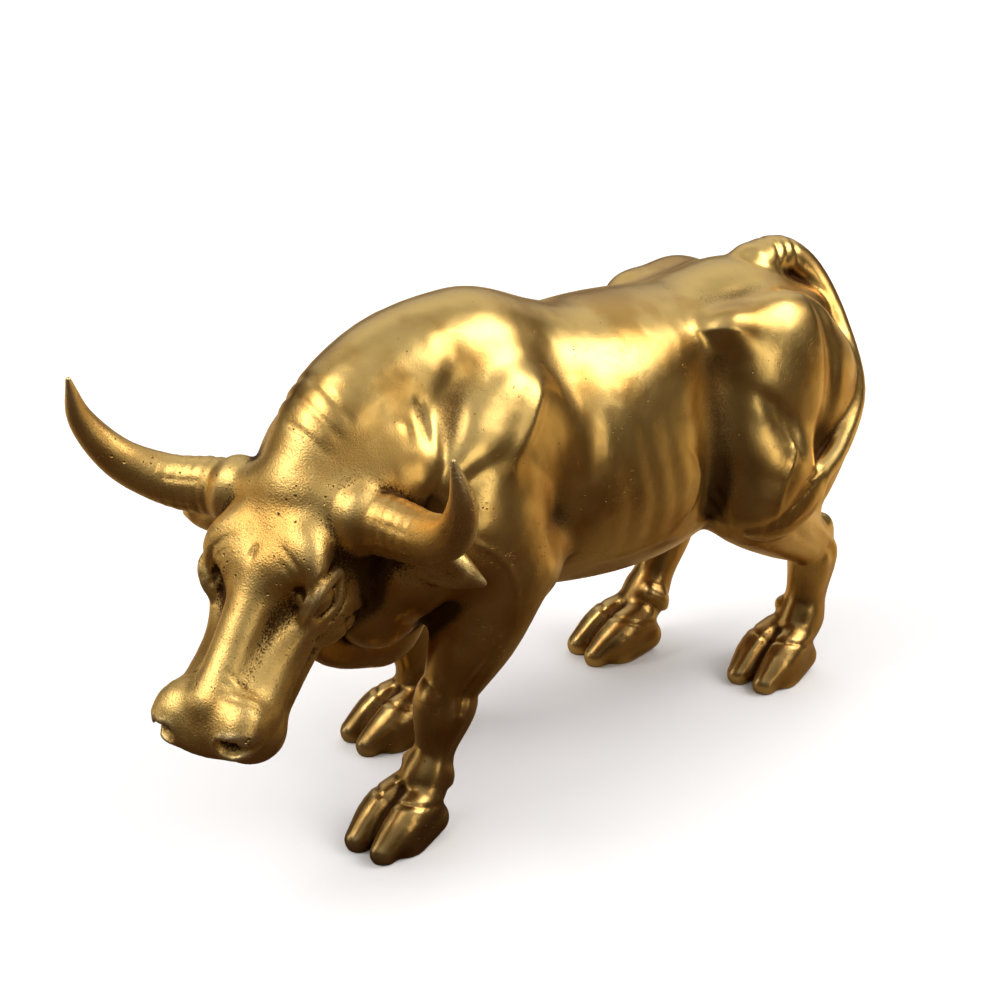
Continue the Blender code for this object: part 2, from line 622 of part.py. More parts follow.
def thin(figure, triangles):
    """Thins the mesh to about a number of triangles."""
    figure.data.calc_loop_triangles()
    collapse = figure.modifiers.new("thin", "DECIMATE")
    collapse.ratio = min(1.0, triangles / len(figure.data.loop_triangles))
    collapse.use_collapse_triangulate = True
    bake(figure)


def cut_soles(figure):
    """Cuts the hooves off flat at the floor, with a block as wide as the clay's grid."""
    size = np.array(CLAY_HIGH) - np.array(CLAY_LOW)
    middle = (np.array(CLAY_HIGH) + np.array(CLAY_LOW)) / 2
    bpy.ops.mesh.primitive_cube_add(size=1.0, location=(middle[0], middle[1], -size[2] / 2))
    block = bpy.context.object
    block.scale = size
    bpy.context.view_layer.update()
    cut = figure.modifiers.new("soles", "BOOLEAN")
    cut.operation = "DIFFERENCE"
    cut.object = block
    bake(figure)
    bpy.data.objects.remove(block)


def bring_to_size(mesh):
    """Scales the drawn figure to its real length, and stands it on the origin."""
    points = np.empty(len(mesh.vertices) * 3, np.float32)
    mesh.vertices.foreach_get("co", points)
    points = points.reshape(-1, 3)
    low = points.min(axis=0)
    high = points.max(axis=0)
    foot = np.array([(low[0] + high[0]) / 2, (low[1] + high[1]) / 2, low[2]])
    sized = (points - foot) * FIGURE_LENGTH / (high[1] - low[1])
    mesh.vertices.foreach_set("co", sized.astype(np.float32).ravel())
    mesh.update()


def antique_gold():
    """Satin gold-coloured cast metal."""
    material = bpy.data.materials.new("antique_gold")
    material.use_nodes = True
    shader = material.node_tree.nodes["Principled BSDF"]
    shader.inputs["Base Color"].default_value = GOLD_COLOUR
    shader.inputs["Metallic"].default_value = 1.0
    shader.inputs["Roughness"].default_value = GOLD_ROUGHNESS
    material.diffuse_color = GOLD_COLOUR
    return material


def main():
    """Models the bull and puts it in its own collection."""
    for old in list(bpy.data.objects):
        bpy.data.objects.remove(old, do_unlink=True)
    clay = Clay(CLAY_LOW, CLAY_HIGH, CLAY_CELL)
    sculpt_bull(clay)
    figure = cast(clay, "bull")
    collection = bpy.data.collections.new("bull figure")
    bpy.context.scene.collection.children.link(collection)
    collection.objects.link(figure)
    thin(figure, SOLID_TRIANGLES)
    cut_soles(figure)
    bring_to_size(figure.data)
    figure.data.materials.append(antique_gold())
    figure.data.shade_smooth()


main()
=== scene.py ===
"""The looks of a cast bull figurine in antique gold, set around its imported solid.

The figure is modelled in clay: a grid of distances to the surface, to which masses and limbs are
added and from which creases and hollows are cut, finer than the solid's. Geometry Nodes cast the
clay as a mesh with the skin of a casting, and the mesh takes the solid's place. Forms are drawn in
units of about a millimetre, with the muzzle towards -Y, the bull's left at +X and the soles at
Z = 0; everything else is in metres, in the frame's own axes.
"""

from __future__ import annotations

import logging
import math
from dataclasses import dataclass, fields
from enum import IntEnum
from typing import ClassVar

import bpy
import numpy as np
from mathutils import Matrix, Vector

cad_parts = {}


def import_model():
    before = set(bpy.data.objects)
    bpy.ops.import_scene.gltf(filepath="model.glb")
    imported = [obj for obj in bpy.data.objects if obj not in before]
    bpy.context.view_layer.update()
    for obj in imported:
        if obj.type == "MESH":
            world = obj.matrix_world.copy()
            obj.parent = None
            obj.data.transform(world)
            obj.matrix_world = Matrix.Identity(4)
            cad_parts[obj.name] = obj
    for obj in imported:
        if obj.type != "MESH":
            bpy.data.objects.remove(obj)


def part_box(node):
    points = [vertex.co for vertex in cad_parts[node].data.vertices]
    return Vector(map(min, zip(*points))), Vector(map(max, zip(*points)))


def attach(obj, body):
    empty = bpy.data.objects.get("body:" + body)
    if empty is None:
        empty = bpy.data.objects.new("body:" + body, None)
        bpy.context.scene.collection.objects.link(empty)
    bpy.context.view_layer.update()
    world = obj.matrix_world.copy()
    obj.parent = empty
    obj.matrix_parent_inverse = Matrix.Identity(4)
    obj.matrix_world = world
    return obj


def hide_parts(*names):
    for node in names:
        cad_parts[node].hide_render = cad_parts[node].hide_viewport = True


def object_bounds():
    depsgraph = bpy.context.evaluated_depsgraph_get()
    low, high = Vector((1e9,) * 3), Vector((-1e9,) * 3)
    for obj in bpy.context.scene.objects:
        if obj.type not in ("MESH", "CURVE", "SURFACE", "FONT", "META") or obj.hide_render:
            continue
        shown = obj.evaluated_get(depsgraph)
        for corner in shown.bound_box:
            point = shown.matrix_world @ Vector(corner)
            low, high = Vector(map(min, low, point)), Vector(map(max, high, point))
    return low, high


LOG = logging.getLogger("bull figurine")

Point = tuple[float, float, float]
Path = tuple[Point, ...]
Window = tuple[slice, slice, slice]
Colour = tuple[float, float, float]
Layer = tuple[float, float, float]
Socket = bpy.types.NodeSocket


class Side(IntEnum):
    """The bull's own left, at +X, and right."""

    LEFT = 1
    RIGHT = -1


BOTH_SIDES = (Side.LEFT, Side.RIGHT)


def turned(x: float = 0.0, y: float = 0.0, z: float = 0.0) -> Matrix:
    """Returns the rotation for a turn about X, then Y, then Z, in degrees."""
    turns = [Matrix.Rotation(math.radians(angle), 3, axis) for angle, axis in zip((x, y, z), "XYZ")]
    return turns[2] @ turns[1] @ turns[0]


def smooth_path(points: list[np.ndarray], radii: list[float], steps: int) -> tuple[np.ndarray, np.ndarray]:
    """Fills in a smooth curve through a few points.

    Args:
        points: The points that the curve passes.
        radii: The radius at each point.
        steps: How many pieces each span is cut into.

    Returns:
        The curve's points, and its radius at each.
    """
    knots = np.column_stack([np.array([tuple(point) for point in points], float), radii])
    knots = np.vstack([2 * knots[0] - knots[1], knots, 2 * knots[-1] - knots[-2]])
    rows = []
    for before, start, end, after in zip(knots, knots[1:], knots[2:], knots[3:]):
        for t in np.arange(steps) / steps:
            square = 2 * before - 5 * start + 4 * end - after
            cube = 3 * start - before - 3 * end + after
            rows.append(0.5 * (2 * start + (end - before) * t + square * t**2 + cube * t**3))
    rows = np.array([*rows, knots[-2]])
    return rows[:, :3], rows[:, 3]


class Clay:
    """A grid of distances to the surface: below zero inside the clay, above zero outside."""

    FAR = 50.0
    LEAST = 1e-6
    STEEPEST_TAPER = 0.98
    GROOVE_REACH = 2.5
    GROOVE_ENDS = 0.6
    SETTLE_STEPS = 8
    LEAST_SLOPE = 0.25
    BLURS = 2

    def __init__(self, low: Point, high: Point, cell: float) -> None:
        """Makes an empty grid.

        Args:
            low: The grid's lowest corner, in drawn units.
            high: Its highest corner.
            cell: The grid's step.
        """
        self.low = np.array(low, np.float32)
        self.cell = float(cell)
        self.counts = np.ceil((np.array(high) - self.low) / cell).astype(int) + 1
        steps = [cell * np.arange(count) for count in self.counts]
        self.axes = [(start + step).astype(np.float32) for start, step in zip(self.low, steps)]
        self.field = np.full(self.counts, self.FAR, np.float32)

    def window(self, low: np.ndarray, high: np.ndarray,
               middle: Point = (0, 0, 0)) -> tuple[Window, list[np.ndarray]]:
        """Returns the slices of the grid between two corners, and X, Y and Z from a middle over them."""
        first = np.clip(np.floor((low - self.low) / self.cell).astype(int), 0, self.counts)
        last = np.clip(np.ceil((high - self.low) / self.cell).astype(int) + 1, 0, self.counts)
        cut = tuple(slice(a, b) for a, b in zip(first, last))
        x, y, z = (axis[part] - at for axis, part, at in zip(self.axes, cut, middle))
        return cut, [x[:, None, None], y[None, :, None], z[None, None, :]]

    def meld(self, cut: Window, distance: np.ndarray, melt: float, sign: int) -> None:
        """Joins a shape on or takes it away.

        Args:
            cut: The window of the grid that the shape covers.
            distance: The distances to the shape there.
            melt: How widely the shape and the clay flow into each other.
            sign: 1 to join it on, -1 to take it away.
        """
        old = sign * self.field[cut]
        share = np.clip(0.5 + 0.5 * (distance - old) / max(melt, self.LEAST), 0, 1)
        self.field[cut] = sign * (distance + (old - distance) * share - melt * share * (1 - share))

    def egg(self, centre: np.ndarray, radii: list[float], turn: Matrix,
            margin: float) -> tuple[Window, np.ndarray]:
        """Measures to an ellipsoid.

        Args:
            centre: Its middle.
            radii: Its half sizes along its own axes.
            turn: Its turn.
            margin: How far around it the window reaches.

        Returns:
            The window, and the distances over it.
        """
        spin = np.array(turn, float)
        reach = np.sqrt(spin**2 @ np.array(radii, float) ** 2) + margin
        cut, (x, y, z) = self.window(centre - reach, centre + reach, centre)
        near = 0.0
        slope = 0.0
        for k, radius in enumerate(radii):
            along = x * spin[0, k] + y * spin[1, k] + z * spin[2, k]
            near = near + (along / radius) ** 2
            slope = slope + (along / radius**2) ** 2
        near = np.sqrt(near)
        return cut, near * (near - 1) / (np.sqrt(slope) + self.LEAST)

    def rope(self, points: np.ndarray, radii: np.ndarray, margin: float,
             widen: Point = (1, 1, 1)) -> tuple[Window, np.ndarray, np.ndarray]:
        """Measures to a tapering rope.

        Args:
            points: The rope's line.
            radii: Its radius at each point.
            margin: How far around it the window reaches.
            widen: What the rope is stretched by along X, Y and Z.

        Returns:
            The window, the distances over it, and how far along the rope each point is, from 0 to 1.
        """
        reach = (max(radii) + margin) * max(widen)
        cut, offsets = self.window(points.min(axis=0) - reach, points.max(axis=0) + reach)
        stretch = np.array(widen, float)
        x, y, z = (part / wide for part, wide in zip(offsets, stretch))
        best = np.float32(np.inf)
        place = np.float32(0)
        spans = len(points) - 1
        for k in range(spans):
            start = points[k] / stretch
            way = points[k + 1] / stretch - start
            square = max(way @ way, self.LEAST)
            growth = radii[k + 1] - radii[k]
            dx, dy, dz = x - start[0], y - start[1], z - start[2]
            share = (dx * way[0] + dy * way[1] + dz * way[2]) / square
            if self.LEAST < growth**2 < self.STEEPEST_TAPER * square:
                aside = np.sqrt(np.maximum(dx**2 + dy**2 + dz**2 - share**2 * square, 0))
                share = share + aside * (growth / math.sqrt(square * (square - growth**2)))
            share = np.clip(share, 0, 1)
            gap = (dx - share * way[0]) ** 2 + (dy - share * way[1]) ** 2 + (dz - share * way[2]) ** 2
            gap = np.sqrt(gap) - (radii[k] + share * growth)
            place = np.where(gap < best, (k + share) / spans, place)
            best = np.minimum(gap, best)
        return cut, best, place

    def score(self, points: np.ndarray, width: float, depth: float, taper: bool) -> None:
        """Sinks the surface along a line, or raises it.

        Args:
            points: The line, on or near the surface.
            width: The groove's half width.
            depth: How far the surface sinks, or below zero how far it rises.
            taper: Whether the groove runs out at both ends.
        """
        cut, distance, along = self.rope(points, np.zeros(len(points)), self.GROOVE_REACH * width)
        shape = np.exp(-((distance / width) ** 2)) * depth
        if taper:
            shape = shape * np.maximum(np.sin(np.pi * along), 0) ** self.GROOVE_ENDS
        self.field[cut] += shape

    def settle(self, points: np.ndarray) -> np.ndarray:
        """Moves points onto the clay's surface, along the slope of the distances."""
        for _ in range(self.SETTLE_STEPS):
            i, j, k = np.clip(np.rint((points - self.low) / self.cell).astype(int), 1, self.counts - 2).T
            slope = np.stack([self.field[i + 1, j, k] - self.field[i - 1, j, k],
                              self.field[i, j + 1, k] - self.field[i, j - 1, k],
                              self.field[i, j, k + 1] - self.field[i, j, k - 1]], axis=1) / (2 * self.cell)
            steep = np.maximum((slope**2).sum(axis=1), self.LEAST_SLOPE)
            points = points - slope * (self.field[i, j, k] / steep)[:, None]
        return points

    def flatten_below(self, height: float) -> None:
        """Cuts the clay off flat at a height."""
        self.field = np.maximum(self.field, height - self.axes[2][None, None, :])

    def fullness(self, reach: float, thin: int) -> tuple[np.ndarray, float]:
        """Measures how much clay there is round each place: a half on a flat, more in a hollow.

        Args:
            reach: Half the side of the box that is measured.
            thin: Keeps only every so many grid points.

        Returns:
            The share of clay on the thinned grid, and that grid's step.
        """
        step = self.cell * thin
        share = np.clip(0.5 - self.field[::thin, ::thin, ::thin] / step, 0, 1)
        half = max(1, round(reach / step / math.sqrt(self.BLURS)))
        for axis in (0, 1, 2) * self.BLURS:
            total = np.cumsum(share, axis=axis)
            index = np.arange(share.shape[axis])
            upper = np.take(total, np.minimum(index + half, index[-1]), axis=axis)
            lower = np.take(total, np.maximum(index - half - 1, 0), axis=axis)
            share = (upper - lower) / (2 * half + 1)
        return share, step

    def read(self, grid: np.ndarray, step: float, points: np.ndarray) -> np.ndarray:
        """Reads a grid of values at points, in between its own points."""
        place = (points - self.low) / step
        first = np.clip(np.floor(place).astype(int), 0, np.array(grid.shape) - 2)
        part = np.clip(place - first, 0, 1)
        found = np.zeros(len(points))
        for corner in np.ndindex(2, 2, 2):
            i, j, k = (first + corner).T
            found += np.prod(np.where(corner, part, 1 - part), axis=1) * grid[i, j, k]
        return found


@dataclass(frozen=True)
class Frame:
    """Where a part of the figure is drawn."""

    origin: Point = (0, 0, 0)
    turn: Point = (0, 0, 0)
    scale: float = 1.0

    def at(self, point: Point, side: int = Side.LEFT) -> np.ndarray:
        """Returns a drawn point in the figure, mirrored for the right side."""
        x, y, z = point
        return np.array(turned(*self.turn) @ Vector((side * x, y, z)) * self.scale + Vector(self.origin))

    def spin(self, turn: Point, side: int = Side.LEFT) -> Matrix:
        """Returns a drawn turn in the figure, mirrored for the right side."""
        x, y, z = turn
        return turned(*self.turn) @ turned(x, side * y, side * z)


FIGURE = Frame()
MARGIN = 2.0


@dataclass(frozen=True)
class Mass:
    """An egg of clay put on."""

    at: Point
    size: Point
    melt: float = 2.5
    turn: Point = (0, 0, 0)
    paired: bool = False
    SIGN: ClassVar[int] = 1

    def put(self, clay: Clay, frame: Frame, side: int) -> None:
        """Joins the egg on, or takes it away."""
        size = [radius * frame.scale for radius in self.size]
        middle, turn = frame.at(self.at, side), frame.spin(self.turn, side)
        cut, distance = clay.egg(middle, size, turn, self.melt + MARGIN)
        clay.meld(cut, distance, self.melt, self.SIGN)


@dataclass(frozen=True)
class Hollow(Mass):
    """An egg of clay taken away."""

    SIGN: ClassVar[int] = -1


@dataclass(frozen=True)
class Limb:
    """A tapering rope of clay along a smooth path."""

    path: Path
    radii: tuple[float, ...]
    melt: float = 2.5
    widen: Point = (1, 1, 1)
    paired: bool = False
    STEPS: ClassVar[int] = 5

    def put(self, clay: Clay, frame: Frame, side: int) -> None:
        """Joins the rope on."""
        path = [frame.at(point, side) for point in self.path]
        points, radii = smooth_path(path, [radius * frame.scale for radius in self.radii], self.STEPS)
        cut, distance, _ = clay.rope(points, radii, self.melt + MARGIN, self.widen)
        clay.meld(cut, distance, self.melt, 1)


@dataclass(frozen=True)
class Crease:
    """A groove scored along a smooth path, or a ridge where depth is below zero."""

    path: Path
    width: float
    depth: float
    taper: bool = True
    paired: bool = False
    STEPS: ClassVar[int] = 4

    def line(self, clay: Clay, frame: Frame, side: int) -> np.ndarray:
        """Returns the smooth line in the figure."""
        path = [frame.at(point, side) for point in self.path]
        return smooth_path(path, [self.width] * len(path), self.STEPS)[0]

    def put(self, clay: Clay, frame: Frame, side: int) -> None:
        """Scores the line."""
        clay.score(self.line(clay, frame, side), self.width, self.depth, self.taper)


@dataclass(frozen=True)
class Wrinkle(Crease):
    """A fine crease or vein, which is laid onto the surface wherever its path is drawn."""

    def line(self, clay: Clay, frame: Frame, side: int) -> np.ndarray:
        """Returns the line, settled onto the surface."""
        return clay.settle(super().line(clay, frame, side))


class Form:
    """A part of the figure, made of strokes of clay in the order of its fields."""

    def sculpt(self, clay: Clay, frame: Frame = FIGURE, sides: tuple[int, ...] = BOTH_SIDES) -> None:
        """Puts every stroke on the clay.

        Args:
            clay: The clay.
            frame: Where the form is drawn.
            sides: The sides that a paired stroke is made on.
        """
        for field in fields(self):
            value = getattr(self, field.name)
            for stroke in value if isinstance(value, tuple) else (value,):
                for side in sides if stroke.paired else (Side.LEFT,):
                    stroke.put(clay, frame, side)


@dataclass(frozen=True)
class Torso(Form):
    """Barrel, back, belly and rump."""

    rib_cage: Mass = Mass((0, 2, 56.5), (21.5, 36, 25), 4)
    chest: Mass = Mass((0, -30, 56), (18.5, 18, 23), 6)
    belly: Mass = Mass((0, 17, 50.5), (20, 28, 20), 6)
    loin: Mass = Mass((0, 22, 69), (14, 32, 11.5), 7)
    rump: Mass = Mass((0, 44, 63.5), (16, 18.5, 18), 6)
    withers: Mass = Mass((0, -20, 75.5), (11, 20, 13), 8)
    hip_bone: Mass = Mass((13.5, 32, 74), (3.8, 5.5, 4.5), 5, paired=True)
    pin_bone: Mass = Mass((6.5, 58, 69), (4.5, 4.5, 5), 5, paired=True)
    sheath: Limb = Limb(((0, 6, 33), (0, 17, 31), (0, 25, 31)), (3.2, 3.2, 2.0), 3)
    scrotum: Mass = Mass((0, 43, 37), (4.6, 4.6, 6.6), 2)
    scrotum_neck: Limb = Limb(((0, 43, 48), (0, 43, 40)), (4.5, 3.5), 2)


@dataclass(frozen=True)
class Neck(Form):
    """Crest, throat, neck muscles and dewlap, bending to the bull's left."""

    crest: Limb = Limb(
        ((0, -20, 76), (0.3, -34, 76.5), (2, -46, 73), (4.4, -55, 66.5)), (12, 11.5, 10, 7.6), 6)
    throat: Limb = Limb(((0, -28, 58), (1, -40, 58.5), (3, -50, 58), (5, -57, 57.5)), (18, 15.5, 12.2, 10), 6)
    left_side: Limb = Limb(((12, -30, 66), (10.5, -43, 65.5), (9.4, -53, 62)), (9, 8.5, 6.5), 5)
    right_side: Limb = Limb(((-12, -30, 66), (-8.5, -43, 65.5), (-2.6, -53, 62)), (9, 8.5, 6.5), 5)
    left_cord: Limb = Limb(((10, -38, 49), (8.5, -47, 52), (8, -54, 54)), (5, 4.5, 4), 2.5)
    right_cord: Limb = Limb(((-10, -38, 49), (-6.5, -47, 52), (-2, -54, 54)), (5, 4.5, 4), 2.5)
    dewlap: Limb = Limb(
        ((3.6, -55, 49), (2.6, -52, 42), (1, -46, 36.5), (0, -37, 33.5)), (4.5, 6.5, 8, 8.5), 4,
        widen=(0.5, 1, 1))


@dataclass(frozen=True)
class Shoulder(Form):
    """Blade, upper arm and breast muscles of one foreleg."""

    blade: Mass = Mass((14.0, -21, 64), (6.2, 10.5, 15.5), 5.5, (-26, 0, 0), True)
    upper_arm: Mass = Mass((17.6, -27, 54), (7, 12.5, 12.5), 2.5, paired=True)
    point: Mass = Mass((14.5, -40, 51), (7, 6.5, 9), 3, paired=True)
    breast: Mass = Mass((7.2, -42, 43), (7.0, 8.5, 9.0), 4.5, paired=True)
    triceps: Mass = Mass((16, -16, 46), (5.5, 7, 8), 2.5, paired=True)


@dataclass(frozen=True)
class Haunch(Form):
    """Thigh and buttock of one hind leg."""

    thigh: Mass = Mass((13.5, 43, 59), (9.5, 17, 20), 3.5, paired=True)
    buttock: Limb = Limb(
        ((11.5, 53, 61), (12.5, 54.5, 50), (13.2, 53, 41), (13.6, 51, 34)), (9.5, 8.2, 6.0, 3.6), 3,
        paired=True)
    fore_thigh: Mass = Mass((14, 34, 50), (8.5, 10, 15), 2.5, paired=True)


HALF_RING_STEP = 25
HALF_RING_DEPTH = 0.8


def half_ring(reach: float, height: float, rise: float, spread: int) -> Path:
    """Draws a path round the front of a hoof, from its right to its left.

    Args:
        reach: How far out to the sides it is.
        height: Its mean height.
        rise: How much higher the middle is than the mean.
        spread: How far round each side it goes, in degrees.

    Returns:
        The path.
    """
    angles = [math.radians(angle) for angle in range(-spread, spread + 1, HALF_RING_STEP)]
    return tuple(
        (reach * math.sin(a), 1.0 - HALF_RING_DEPTH * reach * math.cos(a), height + rise * math.cos(a))
        for a in angles)


@dataclass(frozen=True)
class Hoof(Form):
    """A cloven hoof, toe towards -Y, drawn about the middle of its sole."""

    wall: Limb = Limb(
        ((2.2, 2.2, 6.8), (2.8, -2.6, 4.8), (3.0, -8.2, 1.5)), (3.6, 3.9, 2.5), 1.0, paired=True)
    heel: Limb = Limb(((2.7, 3.6, 3.0), (3.1, -3.2, 1.8)), (3.2, 3.8), 1.0, paired=True)
    dewclaw: Limb = Limb(
        ((2.6, 4.6, 12.0), (3.0, 6.6, 10.6), (3.2, 7.6, 8.4)), (1.7, 1.8, 0.9), 0.8, paired=True)
    cleft: Crease = Crease(
        ((0, -1.0, 9.6), (0, -4.4, 7.4), (0, -9.0, 3.6), (0, -11.0, 0)), 0.8, 1.7, taper=False)
    heel_cleft: Crease = Crease(((0, 7.4, 0), (0, 7.2, 3), (0, 6.2, 6)), 0.9, 1.3, taper=False)


@dataclass(frozen=True)
class HoofRings(Form):
    """The edge where the horn of a hoof starts, its growth lines and the edge of its sole."""

    coronet: Wrinkle = Wrinkle(half_ring(6.4, 7.6, 1.6, 150), 0.38, 0.5)
    growth: tuple[Wrinkle, ...] = tuple(
        Wrinkle(half_ring(6.9, height, 1.0, 120), 0.5, 0.07) for height in (5.6, 4.2, 2.8))
    sole_edge: Wrinkle = Wrinkle(half_ring(7.2, 1.0, 0.0, 125), 0.35, 0.12)


@dataclass(frozen=True)
class Leg:
    """The shaft of a leg down to the pastern, and where its hoof stands."""

    side: int
    path: Path
    radii: tuple[float, ...]
    sole: tuple[float, float]
    muscles: Form
    lean: float = 0.0
    heel_bone: bool = False
    TOE_OUT: ClassVar[float] = 8.0
    SHAFT_MELT: ClassVar[float] = 3.0
    TENDON_OUT: ClassVar[float] = 0.92
    TENDON_WIDTH: ClassVar[float] = 1.3
    BELLY_OUT: ClassVar[float] = 1.06
    BELLY_MELT: ClassVar[float] = 0.9
    BELLIES: ClassVar[tuple[float, ...]] = (-48, 42, 118)
    BELLY_SIZES: ClassVar[tuple[float, ...]] = (0.50, 0.56, 0.34)
    HEEL_BONE: ClassVar[Limb] = Limb(((0, 0, 0), (0, 3.6, 2.2)), (3.2, 2.4), 2)
    GROOVES: ClassVar[tuple[tuple[float, float, int], ...]] = ((-10, 0.35, 1), (62, 0.45, 2))
    GROOVE_WIDTH: ClassVar[float] = 0.8

    def tendon(self, first: int, last: int, back: float, depth: float) -> Crease:
        """Draws a crease down the outside of the shaft.

        Args:
            first: The path's point where it starts.
            last: The point where it ends.
            back: How far to the back it lies, as a share of the radius.
            depth: Its depth.

        Returns:
            The crease.
        """
        rows = zip(self.path[first:last + 1], self.radii[first:last + 1])
        path = tuple((self.side * (abs(x) + self.TENDON_OUT * r), y + back * r, z) for (x, y, z), r in rows)
        return Crease(path, self.TENDON_WIDTH, depth)

    def round_shaft(self, turn: float, first: int, shares: tuple[float, ...]) -> Path:
        """Draws a path down the shaft, off its middle line.

        Args:
            turn: Where it lies round the shaft: 0 is outside and 90 behind, in degrees.
            first: The path's point where it starts.
            shares: How far out it lies at each point, as a share of the radius there.

        Returns:
            The path.
        """
        out, back = self.side * math.cos(math.radians(turn)), math.sin(math.radians(turn))
        rows = zip(self.path[first:], self.radii[first:], shares)
        return tuple(
            (x + share * radius * out, y + share * radius * back, z) for (x, y, z), radius, share in rows)

    def belly(self, turn: float, first: int) -> Limb:
        """Returns a long muscle down the shaft."""
        path = self.round_shaft(turn, first, tuple(self.BELLY_OUT - size for size in self.BELLY_SIZES))
        radii = tuple(size * radius for size, radius in zip(self.BELLY_SIZES, self.radii[first:]))
        return Limb(path, radii, self.BELLY_MELT)

    def hoof_frame(self) -> Frame:
        """Returns where the hoof is drawn."""
        return Frame(origin=(*self.sole, 0), turn=(0, 0, self.side * self.TOE_OUT))

    def sculpt(self, clay: Clay) -> None:
        """Puts the muscles, shaft, heel bone, tendons and hoof on the clay."""
        self.muscles.sculpt(clay, Frame(origin=(0, self.lean, 0)), (self.side,))
        Limb(self.path, self.radii, self.SHAFT_MELT).put(clay, FIGURE, Side.LEFT)
        for turn in self.BELLIES:
            self.belly(turn, int(self.heel_bone)).put(clay, FIGURE, Side.LEFT)
        if self.heel_bone:
            self.HEEL_BONE.put(clay, Frame(self.path[3]), Side.LEFT)
        tendon = self.tendon(2, 4, 0.35, 0.7) if self.heel_bone else self.tendon(1, 3, -0.15, 0.5)
        for crease in (tendon, self.tendon(3, 5, 0.3, 0.5)):
            crease.put(clay, FIGURE, Side.LEFT)
        Hoof().sculpt(clay, self.hoof_frame())

    def refine(self, clay: Clay) -> None:
        """Scores the forearm or shank, the back of the knee or hock, and the hoof's lines."""
        for turn, depth, first in self.GROOVES:
            path = self.round_shaft(turn, first, (1.0,) * 4)
            Wrinkle(path, self.GROOVE_WIDTH, depth).put(clay, FIGURE, Side.LEFT)
        HoofRings().sculpt(clay, self.hoof_frame())


FORE_RADII = (9.6, 7.6, 5.0, 5.5, 3.7, 4.5, 3.9)
HIND_RADII = (11.0, 9.2, 7.0, 4.8, 4.9, 3.9, 4.6, 4.0)
LEFT_FORE = Leg(
    Side.LEFT,
    ((15, -24, 46), (15.3, -29, 35.5), (14.6, -33.5, 26.5), (14.3, -35, 22.5), (14.2, -37, 15),
     (14.2, -39.5, 9.8), (14.2, -42, 6)), FORE_RADII, (14.2, -44), Shoulder(), lean=-1.5)
RIGHT_FORE = Leg(
    Side.RIGHT,
    ((-15, -22, 46), (-15.3, -21.5, 35.5), (-14.5, -21.5, 26.5), (-14.3, -21.5, 23), (-14.2, -20, 15),
     (-14.2, -18.8, 9.8), (-14.2, -21, 6)), FORE_RADII, (-14.2, -23.5), Shoulder())
LEFT_HIND = Leg(
    Side.LEFT,
    ((15, 38, 48), (16, 35.5, 42), (14.8, 44, 34), (13.8, 54, 26.5), (13.6, 56, 23), (13.5, 55, 15),
     (13.5, 53.5, 9.8), (13.5, 50.5, 6)), HIND_RADII, (13.5, 48), Haunch(), heel_bone=True)
RIGHT_HIND = Leg(
    Side.RIGHT,
    ((-15, 34, 48), (-15.6, 29, 42), (-14.6, 34.5, 33.5), (-13.6, 42, 26), (-13.5, 43.5, 23),
     (-13.4, 40, 15), (-13.4, 37, 9.8), (-13.4, 34, 6)), HIND_RADII, (-13.4, 31.5), Haunch(), lean=-1.0,
    heel_bone=True)
LEGS = (LEFT_FORE, RIGHT_FORE, LEFT_HIND, RIGHT_HIND)


def neck_fold(j: int) -> Crease:
    """Returns the j-th skin fold down the side of the neck, nearer the head each time."""
    x = 10 + 1.2 * (j + 1)
    y = -42 - 3.8 * j
    path = ((x, y + 5, 79 - 3.0 * j), (x + 6 - j, y + 2, 69 - 2.2 * j), (x + 5 - j, y + 0.5, 60 - 1.5 * j),
            (x, y, 51 - 0.5 * j))
    return Crease(path, 1.0, 0.75, paired=True)


def rib(j: int) -> Crease:
    """Returns the j-th gap between ribs, further back each time."""
    y = -1 + 5.2 * j
    return Crease(
        ((19, y - 1, 72), (22.5, y + 0.5, 61), (22, y + 2.5, 49), (17, y + 3, 39)), 1.6, 0.28, paired=True)


@dataclass(frozen=True)
class Muscles(Form):
    """Creases that part the muscles of the trunk and thighs."""

    behind_shoulder: Crease = Crease(
        ((15, -6, 80), (20.5, -6, 70), (23, -8, 60), (23.2, -11, 48), (19, -12, 38)), 2.4, 1.9, paired=True)
    flank: Crease = Crease(
        ((15, 27, 76), (20.5, 23, 66), (20.5, 23, 54), (17, 25, 40)), 4.2, 2.4, paired=True)
    over_arm: Crease = Crease(
        ((20.5, -41, 56), (22, -36, 65), (23, -27, 68.5), (23.5, -17, 65), (23.5, -12, 56)), 1.7, 1.3,
        paired=True)
    neck_line: Crease = Crease(
        ((9, -27, 87), (15.5, -33, 76), (18, -40, 64), (17, -45, 56)), 2.2, 1.2, paired=True)
    blade_ridge: Crease = Crease(((17.5, -14, 79), (20, -21, 71), (21.5, -27, 65)), 1.6, -0.7, paired=True)
    back_thigh: Crease = Crease(
        ((15, 50, 78), (21, 50, 68), (23, 48, 56), (21, 42, 44)), 2.0, 1.2, paired=True)
    buttock: Crease = Crease(((10, 62, 66), (17, 59, 56), (19, 53, 42)), 1.8, 0.9, paired=True)
    fore_thigh: Crease = Crease(
        ((17, 31, 66), (22, 36, 60), (23.4, 40, 50), (22.6, 38, 42)), 1.6, 0.7, paired=True)
    elbow: Crease = Crease(((21, -9, 46), (20.5, -13, 40), (19, -20, 36.5)), 1.0, 0.9, paired=True)
    neck_folds: tuple[Crease, ...] = tuple(neck_fold(j) for j in range(3))
    ribs: tuple[Crease, ...] = tuple(rib(j) for j in range(5))


